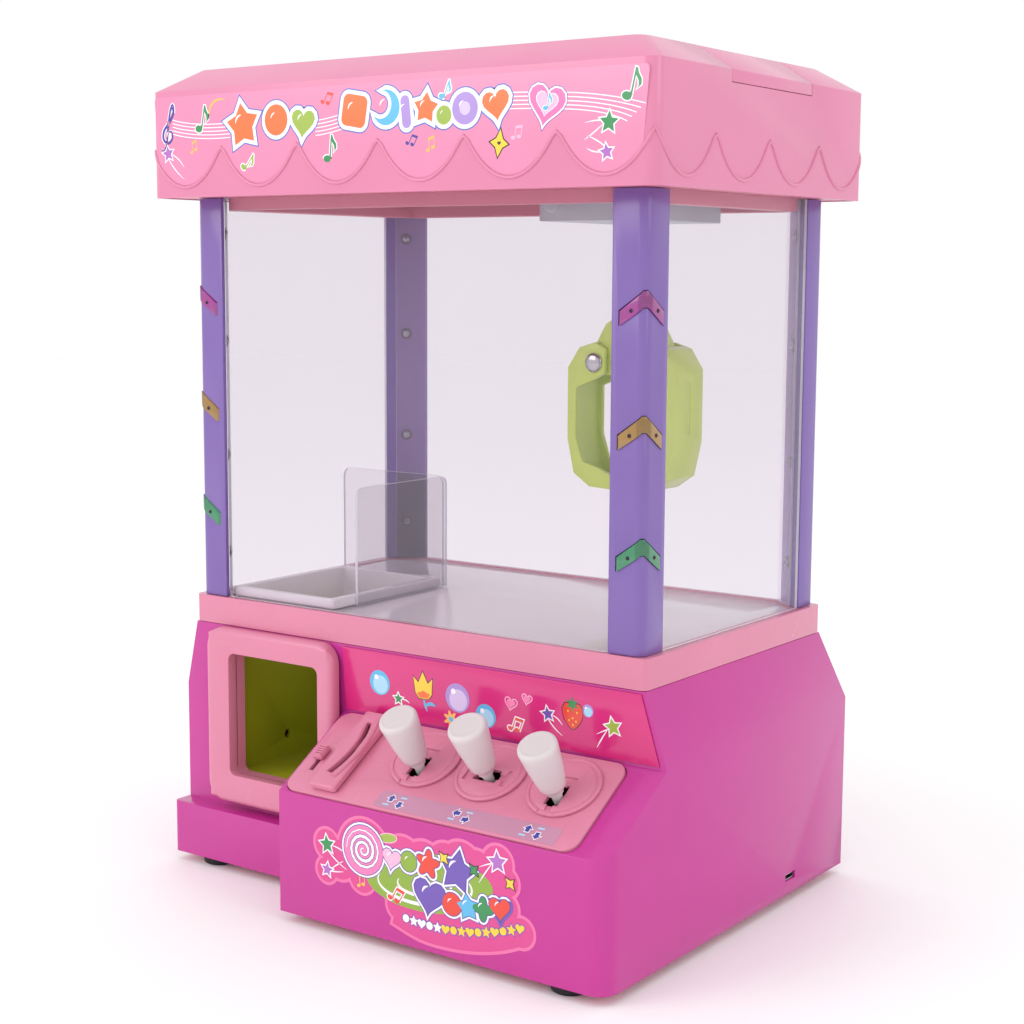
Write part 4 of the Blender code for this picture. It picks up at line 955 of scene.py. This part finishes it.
def deck():
    refined("deck_frame", LIGHT_PINK, "light_pink", 0.9 * MM, segments=3)
    refined("play_floor", PALE, "pale", 0.2 * MM)
    refined("prize_chute", PALE, "pale", 0.8 * MM, segments=3)


# ---- Base and prize parts ----

def base():
    refined("base_shell", MAGENTA, "magenta", 1.0 * MM, segments=3, angle=18)
    refined("bottom_plate", DEEP_PINK_AND_PAINTED_SHADE, "deep_pink", 0.4 * MM)
    refined("battery_cover", MAGENTA, "magenta", 0.4 * MM)
    for end in ("front", "rear"):
        for side, _ in SIDES:
            node = f"foot_{end}_{side}"
            low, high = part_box(node)
            radius = (high.x - low.x) / 2
            place = Matrix.Translation(((low.x + high.x) / 2, (low.y + high.y) / 2, 0))
            foot = turned(node + "_finished", [(radius * 0.86, 0), (radius * 0.96, 0.5 * MM), (radius, 1.4 * MM),
                                               (radius, high.z)], place, 36)
            finished(foot, DARK, stands_for=(node,), angle=50)


def prize_door():
    """The rounded bezel with a plump outer edge, and a collar behind it that reaches into the box."""
    refined("prize_box", OLIVE, "lime", 0.5 * MM)
    low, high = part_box("prize_bezel")
    face = face_frame((0, low.y, 0), RIGHT, (0, 0, 1))
    hole = rounded((-98.4 * MM, 46.6 * MM), (-43.6 * MM, 104.5 * MM), 3.5 * MM, 6)
    collar_edge = rounded((-99.7 * MM, 45.3 * MM), (-42.3 * MM, 105.8 * MM), 4.5 * MM, 6)
    rim = plate("prize_bezel_finished", [rounded((low.x, low.z), (high.x, high.z), 9.5 * MM, 10), hole],
                low.y - high.y, 0, face)
    margin = 2.0 * MM

    def front_rim(at, _):
        """True for the edges of the front face that lie by the bezel's outside."""
        away = low.x + margin < at.x < high.x - margin and low.z + margin < at.z < high.z - margin
        return abs(at.y - low.y) < 0.01 * MM and not away

    pick(rim, "EDGE", front_rim)
    bpy.ops.mesh.bevel(offset=3.2 * MM, segments=6, affect="EDGES")
    shut()
    soften(rim, 0.7 * MM, 3, 60)
    collar_depth = low.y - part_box("prize_box")[0].y + 0.3 * MM, low.y - high.y + 0.5 * MM
    collar = plate("collar", [collar_edge, hole], *collar_depth, face)
    join("prize_bezel_finished", [rim, collar])
    finished(rim, LIGHT_PINK, stands_for=("prize_bezel",), angle=40)


# ---- Controls ----

def panel_face(x, s, height=0.0):
    """A frame on the console's slope, with its origin x across, s up from the panel's lower edge."""
    return SLOPE @ Matrix.Translation((x, s, height))


def controls():
    refined("control_panel", LIGHT_PINK, "light_pink", 0.5 * MM, segments=3, angle=50)
    coin_slot()
    power_switch()
    for side, lengthwise in (("left", True), ("middle", False), ("right", True)):
        guide_disc(side, lengthwise)
        lever(side)


def coin_slot():
    """The slot's bezel, and the round rail that bows along its right side."""
    refined("coin_slot_bezel", LIGHT_PINK, "light_pink", 0.5 * MM, segments=3, angle=40)
    rail = []
    for k in range(17):
        share = k / 8 - 1
        x, s = -8.6 + 2.9 * (1 - share ** 2), 26.5 + 17.6 * share
        rail.append(panel_face(x * MM, s * MM, 3.7 * MM).translation)
    finished(tube("coin_slot_rail", rail, 1.25 * MM, 4), LIGHT_PINK, angle=60)


def power_switch():
    """The slide knob with five ridges, and three raised marks above it."""
    place = panel_face(-26.2 * MM, 21.8 * MM)
    parts = [soften(from_node("power_switch"), 0.3 * MM, 2, 50)]
    for k in (-2, -1, 0, 1, 2):
        low, high = (-2.3 * MM, (k - 0.3) * 1.3 * MM, 2.5 * MM), (2.3 * MM, (k + 0.3) * 1.3 * MM, 3.3 * MM)
        ridge = block("ridge", low, high)
        parts.append(settle(soften(ridge, 0.15 * MM), place))
    knob = join("power_switch_finished", parts)
    finished(knob, LIGHT_PINK, "power_switch", ("power_switch",), 40)
    for k in range(3):
        line = block("switch_mark", (-1.6 * MM, -0.25 * MM, -0.05 * MM), (1.6 * MM, 0.25 * MM, 0.15 * MM))
        soften(line, 0.1 * MM)
        finished(settle(line, panel_face(-25.4 * MM, (29.6 + 1.5 * k) * MM)), LIGHT_PINK)


def guide_disc(side, lengthwise):
    """A stepped disc with the slot that its lever tilts in, and a shallow mark across the slot's ends."""
    node = "guide_disc_" + side
    half = 0.8 * MM
    place = face_frame(middle(node), RIGHT, UP_SLOPE)
    guide = turned(node + "_finished", [
        (16.0 * MM, -half), (16.0 * MM, 0.1 * MM), (15.5 * MM, 0.55 * MM), (14.6 * MM, 0.60 * MM),
        (14.3 * MM, 0.25 * MM), (13.7 * MM, 0.25 * MM), (13.3 * MM, 0.70 * MM), (12.7 * MM, half)], Matrix(), 72)
    pivot = Vector(JOINTS[f"lever_{side}_tilt"]["pos_m"])
    centre = place.inverted() @ pivot
    swap = Matrix.Identity(4) if lengthwise else Matrix.Rotation(math.radians(90), 4, "Z")
    at = Matrix.Translation((centre.x, centre.y, 0)) @ swap
    for wide, start, stop, depth in ((3.4, -5.6, 5.6, -2 * half), (1.5, -8.8, 8.8, -0.1 * MM),
                                     (4.4, -10.4, -8.4, -0.1 * MM), (4.4, 8.4, 10.4, -0.1 * MM)):
        recess = block("recess", (-wide * MM, start * MM, depth), (wide * MM, stop * MM, 2 * half))
        cut(guide, settle(recess, at))
    soften(guide, 0.15 * MM, 2, 50)
    finished(settle(guide, place), LIGHT_PINK, stands_for=(node,), angle=35)


def lever(side):
    """A tapered grip on a thin neck, along the slope's normal at rest."""
    body = "lever_" + side
    place = face_frame(Vector(JOINTS[body + "_tilt"]["pos_m"]), RIGHT, UP_SLOPE)
    profile = [(3.5, 14.0), (3.7, 16.1), (4.4, 16.6), (5.2, 17.2), (5.75, 18.4), (6.4, 22.4), (7.3, 28.2),
               (8.15, 36.3), (8.3, 37.7), (8.25, 38.7), (7.9, 39.5), (7.3, 39.9), (6.6, 40.0), (6.2, 39.85),
               (5.6, 39.85)]
    grip = turned(f"lever_grip_{side}_finished", [(r * MM, h * MM) for r, h in profile], place, 56)
    finished(grip, WHITE, body, (f"lever_grip_{side}",), 50)
    refined(f"lever_stem_{side}", WHITE, "white", 0.3 * MM, body)


def panel_film():
    """A clear strip with an arrow pair under each lever: up and down, or left and right in the middle."""
    low, high = (16.6 * MM, 1.0 * MM), (107.6 * MM, 10.0 * MM)
    film = plate("arrow_film", [rounded(low, high, 1.2 * MM)], 0, 0.12 * MM, SLOPE)
    finished(film, FILM)
    arrows = Sticker("arrow_print", panel_face(0, 0, 0.13 * MM))
    shape = [(-0.55, -0.9), (0.55, -0.9), (0.55, 0.1), (1.15, 0.1), (0, 1.1), (-1.15, 0.1), (-0.55, 0.1)]
    dash = rounded((-1.6, -0.4), (1.6, 0.4), 0.35, 3)
    for u, turn in ((26.4, 0), (60.4, 90), (95.6, 0)):
        for du, v, half_turn in ((-3.0, 6.5, 0), (2.5, 4.1, 180)):
            arrows.bordered("navy", "white", 0, placed(shape, (u + du, v), 1.75, turn + half_turn), 0.35)
        for du, v in ((2.6, 7.9), (-4.0, 3.0)):
            arrows.add("pale_blue", 0, placed(dash, (u + du, v)))
    arrows.finish("hot_pink_print")


def art_print():
    """Bubbles, hearts, notes, flowers and stars on the upright panel behind the levers."""
    refined("front_art_panel", INKS.setdefault("art_pink", ink("ink_art_pink", INK_COLOURS["art_pink"])),
            "hot_pink_print", 0.15 * MM)
    art = Sticker("art_print", ART)
    middle_z = middle("front_art_panel").z / MM

    def at(u, z):
        return (u, z - middle_z)

    for colour, core, (u, z), radius in (
            ("sky", "pale_blue", (-12.2, 101.3), 5.6), ("lilac", "pearl", (30.6, 100.4), 6.4),
            ("sky", "pale_blue", (45.3, 94.6), 5.2), ("lilac", "pale_blue", (97.1, 104.6), 2.7)):
        art.add(colour, 0, disc(at(u, z), radius, 40))
        art.add(core, 1, disc(at(u + radius * 0.06, z - radius * 0.14), radius * 0.74, 36))
        art.add("white", 2, disc(at(u - radius * 0.32, z + radius * 0.42), radius * 0.20, 16))
    for (u, z), size in (((58.7, 102.2), 3.4), ((67.0, 105.2), 2.8)):
        outline = placed(heart(), at(u, z), size, -10)
        art.add("pale_pink", 0, outline, grown(outline, -0.45))
        art.add("rose", 0, placed(heart(), at(u, z), size * 0.62, -10))
    art.bordered("red", "white", 0, placed(double_note(), at(60.8, 93.2), 4.0, -22), 0.5)
    art.add("gold", 0, placed(petals(7, 0.25), at(26.6, 90.4), 4.0))
    art.add("sky", 1, disc(at(26.6, 90.4), 1.2, 16))
    art.shooting("violet", at(77.3, 100.4), 3.2, 10, (7, -6), 0)
    art.shooting("leaf", at(109.0, 99.6), 4.0, 12, (-8, -7), 0)
    art.shooting("green", at(-2.0, 95.4), 2.6, 0, (6, -3), 0)

    tulip = [(-4.4, -3.0), (-5.2, 4.2), (-2.6, 1.8), (0, 6.8), (2.6, 1.8), (5.2, 4.2), (4.4, -3.0), (2.4, -5.2),
             (-2.4, -5.2)]
    art.add("black", 0, placed(grown(tulip, 0.35), at(12.2, 102.6)))
    art.add("yellow", 1, placed(tulip, at(12.2, 102.6)))
    cup = [(-3.6, -3.0), (0, -1.6), (3.6, -3.0), (2.2, -4.9), (-2.2, -4.9)]
    art.add("orange", 2, placed(cup, at(12.2, 102.6)))
    art.add("sky", 1, ribbon(smooth([at(12.2, 97.2), at(12.8, 94.6), at(13.8, 92.0)]), 1.1))
    art.add("sky", 2, ribbon(smooth([at(12.9, 94.2), at(15.6, 95.6), at(18.4, 95.0)]), 1.6))

    berry = smooth([(-5.0, 2.2), (-3.2, 4.6), (0, 4.0), (3.2, 4.6), (5.0, 2.2), (4.0, -2.4), (0, -6.2), (-4.0, -2.4),
                    (-5.0, 2.2)], 4)[:-1]
    art.add("black", 0, placed(grown(berry, 0.35), at(89.6, 102.0)))
    art.add("red", 1, placed(berry, at(89.6, 102.0)))
    art.add("green", 2, placed(star(6, 0.42), at(89.6, 106.4), 3.4))
    for u, z in ((87.4, 103.2), (91.8, 103.0), (89.6, 100.4), (87.8, 99.4), (91.2, 99.2), (89.6, 97.6)):
        art.add("yellow", 2, disc(at(u, z), 0.42, 8))
    art.finish("hot_pink_print")


def front_sticker():
    """A die-cut sticker: a lollipop, sweets and stars on a green swirl, with a striped ribbon below."""
    sticker = Sticker("front_sticker", CONSOLE_FRONT)
    blobs = ((-7.6, 39.5, 6.4), (-7.6, 28.2, 5.4), (0, 34, 8.5), (13, 40, 14.0), (12, 29, 6.8), (25, 40, 9.0),
             (34, 40, 10.5), (45, 39, 11.5), (56, 43, 9.0), (64, 43, 11.0), (72, 44, 8.0), (82, 48.6, 7.2),
             (86, 41.5, 6.0), (32, 29, 9.4), (44, 28, 11.5), (56, 30, 12.0), (68, 31, 12.0), (79, 33, 10.5),
             (86, 31, 6.0), (32, 21, 6.5), (93.5, 22.6, 6.0))
    band = smooth([(30, 18.5), (44, 14.8), (58, 14.6), (70, 16.0), (82, 19.0), (93, 23.6)], 6)
    for i, (grow, colour) in enumerate(((1.3, "edge_pink"), (0, "body_pink"))):
        for k, (u, v, radius) in enumerate(blobs):
            sticker.add(colour, 2.5 * i + 0.05 * k, disc((u, v), radius + grow, 44))
        sticker.add(colour, 2.5 * i + 1.1, grown(ribbon(band, 12.4, False), grow))

    swirl = 6
    sticker.add("lime", swirl, placed(arc((0, 0), (33, 12.5), 0, 350, 48), (47, 33.5), 1, 6))
    for k, (size, turn) in enumerate((((24.5, 8.6), 6), ((14.0, 5.0), 8))):
        ring = placed(arc((0, 0), size, 160, 395, 40), (45, 32.5), 1, turn)
        sticker.add("white", swirl + 1 + 0.05 * k, ribbon(ring, 1.5))

    sweets = (("rose", disc((0, 0), 1), (12.8, 40.8), 10.6, 0), ("pale_pink", heart(), (28.0, 40.2), 4.9, -6),
              ("lime", disc((0, 0), 1), (37.0, 40.6), 4.3, 0), ("red", petals(5), (47.0, 41.6), 6.2, 12),
              ("violet", star(5, 0.56), (62.0, 41.4), 9.0, -8), ("violet", heart(), (47.8, 28.4), 8.2, -6),
              ("red", disc((0, 0), 1), (59.4, 27.2), 4.8, 0), ("sky", star(5, 0.60), (67.4, 27.6), 5.6, 10),
              ("green", petals(4), (75.0, 28.4), 5.2, 0), ("red", heart(), (83.2, 30.6), 5.2, 4))
    for layer, extra, colour in ((8, 1.5, "violet"), (9, 1.15, "white"), (10, 0.35, "navy")):
        for i, (_, shape, centre, size, turn) in enumerate(sweets):
            sticker.add(colour, layer + 0.05 * i, grown(placed(shape, centre, size, turn), extra))
    for i, (colour, shape, centre, size, turn) in enumerate(sweets):
        sticker.add(colour, 11 + 0.05 * i, placed(shape, centre, size, turn))
        if colour != "rose":
            sticker.gleam(12, centre, size, 0.38, 0.08, 0.12)
    angles = [0.45 * i for i in range(3, 50)]
    turns = [(12.8 + 0.42 * a * math.cos(a), 40.8 + 0.42 * a * math.sin(a)) for a in angles]
    sticker.add("white", 13, ribbon(turns, 1.4))
    sticker.add("navy", 12, ribbon(turns, 2.1))

    sticker.shooting("green", (-7.4, 39.4), 4.2, 8, (11, -6), 7)
    sticker.shooting("purple", (-7.4, 28.4), 3.2, -6, (9, 3), 7)
    sticker.shooting("purple", (82.0, 49.2), 4.6, 6, (-9, -7), 13)
    for colour, (u, v) in (("yellow", (55.2, 45.6)), ("green", (70.4, 43.6)), ("yellow", (88.2, 41.6))):
        gem = [(0, 3.0), (0.9, 0.9), (2.6, 0), (0.9, -0.9), (0, -3.0), (-0.9, -0.9), (-2.6, 0), (-0.9, 0.9)]
        sticker.add("black", 13, placed(grown(gem, 0.35), (u, v), 1, 45))
        sticker.add(colour, 14, placed(gem, (u, v), 1, 45))
    sticker.bordered("red", "white", 13, placed(double_note(), (30.4, 25.0), 4.2, -30), 0.5)
    sticker.add("gold", 8, placed(double_note(), (11.4, 27.2), 3.0, 6))
    sticker.bordered("leaf", "pale_pink", 7, placed(arc((0, 0), (4.6, 1.8), 0, 340, 20), (26.0, 48.4), 1, 8), 0.4)
    count = 15
    for i in range(count):
        u = 35.5 + 57.5 * i / (count - 1)
        v = 15.6 + 0.0041 * (u - 47) ** 2
        shape = (disc((0, 0), 1, 16), star(), heart())[i % 3]
        size = (1.7, 2.5, 2.2)[i % 3]
        sticker.bordered("white" if i < 5 else "yellow", "violet", 5, placed(shape, (u, v), size), 0.4)
    sticker.finish("hot_pink_print")


# ---- Crane ----

def crane():
    refined("bridge_beam", GREY, "grey", 0.5 * MM, "bridge")
    refined("trolley_housing", GREY, "grey", 0.6 * MM, "trolley", 3)
    refined("winch_motor", STEEL, "steel", 0.5 * MM, "trolley")
    refined("winch_drum", WHITE, "white", 0.2 * MM, "winch")
    for side, sx in SIDES:
        refined("rail_" + side, DRAWN_STEEL, "steel", 0.3 * MM)


def claw():
    """The head, the two jaws, and a domed rivet on each end of each pin."""
    refined("claw_head", LIME, "lime", 0.7 * MM, "claw", 3, 35)
    deep, half, foot, top = 0.5 * MM, 1.4 * MM, 210 * MM, 233 * MM      # the groove down each jaw's back
    for side, sx in SIDES:
        jaw = from_node("claw_jaw_" + side)
        low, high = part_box("claw_jaw_" + side)
        back_x, y = high.x if sx > 0 else low.x, middle("claw_head").y
        cut(jaw, block("groove", (back_x - deep, y - half, foot), (back_x + deep, y + half, top)))
        soften(jaw, 0.5 * MM, 2, 35)
        finished(jaw, LIME, "jaw_" + side, ("claw_jaw_" + side,), 40)
        pin_low, pin_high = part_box("claw_pin_" + side)
        centre = (pin_low + pin_high) / 2
        radius = (pin_high.x - pin_low.x) / 2
        for name, sy in (("front", -1), ("rear", 1)):
            at = Vector((centre.x, pin_low.y if sy < 0 else pin_high.y, centre.z))
            place = face_frame(at, (-sy, 0, 0), (0, 0, 1))
            rivet = turned(f"rivet_{name}_{side}", [
                (radius, -0.9 * MM), (4.3 * MM, -0.85 * MM), (4.4 * MM, -0.45 * MM), (4.1 * MM, 0.15 * MM),
                (3.2 * MM, 0.65 * MM), (1.8 * MM, 0.95 * MM), (0.8 * MM, 1.0 * MM)], place, 40)
            finished(rivet, STEEL, "claw", angle=60)
        frame["nodes"]["claw_pin_" + side].data.materials.clear()
        frame["nodes"]["claw_pin_" + side].data.materials.append(STEEL)


def lift_cord():
    """Two strands, each of two yarns laid round each other, from the drum to the claw's head."""
    low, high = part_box("claw_cord")
    centre_x, centre_y = (low.x + high.x) / 2, (low.y + high.y) / 2
    radius = (high.y - low.y) / 2
    strand_x = (high.x - low.x) / 2 - radius
    yarn = radius * 0.52
    foot, top = low.z, high.z - strand_x
    turns, steps = 12, 12             # of each yarn round its strand, and points to a turn
    yarns = []
    for sx in (-1, 1):
        for phase in (0, math.pi):
            route = []
            for i in range(turns * steps + 1):
                angle = 2 * math.pi * i / steps + phase
                route.append((centre_x + sx * strand_x + yarn * math.cos(angle), centre_y + yarn * math.sin(angle),
                              foot + (top - foot) * i / (turns * steps)))
            yarns.append(tube("yarn", route, yarn, 2))
    bend = [(centre_x + strand_x * math.cos(a), centre_y, top + strand_x * math.sin(a))
            for a in (math.pi * i / 12 for i in range(13))]
    yarns.append(tube("yarn", bend, radius * 0.95, 2))
    cord = join("lift_cord", yarns)
    finished(cord, CORD_WHITE, None, ("claw_cord",), 60)
    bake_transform(cord)


# ---- Inner parts that keep their CAD shape ----

def inner_parts():
    for node, material in (("usb_socket", STEEL), ("circuit_board", BOARD), ("speaker", DARK),
                           ("coin_channel", DEEP_PINK_AND_PAINTED_SHADE)):
        mesh = frame["nodes"][node].data
        mesh.materials.clear()
        mesh.materials.append(material)


# ---- Floor, lights and camera ----

LIGHTS = (("key", (-0.9, -1.5, 1.0), 1.0, 9.0), ("side", (1.8, -0.2, 0.9), 0.7, 3.0),      # place, size, power
          ("top", (0.1, 0.2, 2.0), 1.4, 2.0))
LIT_POINT = Vector((0, 0, 0.18))
FLOOR_SIZE = 8
LENS, SENSOR = 64.14, 36.0                    # mm
CAMERA_PLACE = (0.4917, -0.6655, 0.2803)
CAMERA_TURN, CAMERA_TILT, CAMERA_ROLL = (math.radians(a) for a in (35.651, 82.501, 0.308))


def studio():
    bpy.ops.object.select_all(action="DESELECT")
    bpy.ops.mesh.primitive_plane_add(size=FLOOR_SIZE, location=(0, 0, 0))
    floor = bpy.context.object
    floor.name = "floor"
    paper = Finish("floor_paper", (1.0, 1.0, 1.0), 0.65)
    fine = paper.noise(300.0, 3.0)
    paper.set("Normal", paper.bump(fine, 0.02 * MM, 0.3))
    floor.data.materials.append(paper.material)
    world = bpy.data.worlds.new("studio")
    bpy.context.scene.world = world
    world.use_nodes = True
    world.node_tree.nodes["Background"].inputs["Color"].default_value = (1, 1, 1, 1)
    world.node_tree.nodes["Background"].inputs["Strength"].default_value = 1.0
    bpy.context.scene.view_settings.view_transform = "Standard"
    for name, place, size, power in LIGHTS:
        light = bpy.data.lights.new(name, "AREA")
        light.energy, light.size = power, size
        lamp = bpy.data.objects.new(name, light)
        bpy.context.scene.collection.objects.link(lamp)
        lamp.location = place
        lamp.rotation_euler = (LIT_POINT - Vector(place)).to_track_quat("-Z", "Y").to_euler()


def camera():
    data = bpy.data.cameras.new("camera")
    data.lens, data.sensor_width = LENS, SENSOR
    data.clip_start, data.clip_end = 0.02, 20.0
    cam = bpy.data.objects.new("camera", data)
    bpy.context.scene.collection.objects.link(cam)
    bpy.context.scene.camera = cam
    place = (Matrix.Rotation(CAMERA_TURN, 4, "Z") @ Matrix.Rotation(CAMERA_TILT, 4, "X")
             @ Matrix.Rotation(CAMERA_ROLL, 4, "Z"))
    cam.matrix_world = Matrix.Translation(CAMERA_PLACE) @ place


camera()
studio()
canopy()
canopy_print()
pillars()
pillar_screws()
lamp_screws()
sheets()
deck()
base()
prize_door()
controls()
panel_film()
art_print()
front_sticker()
crane()
claw()
lift_cord()
inner_parts()
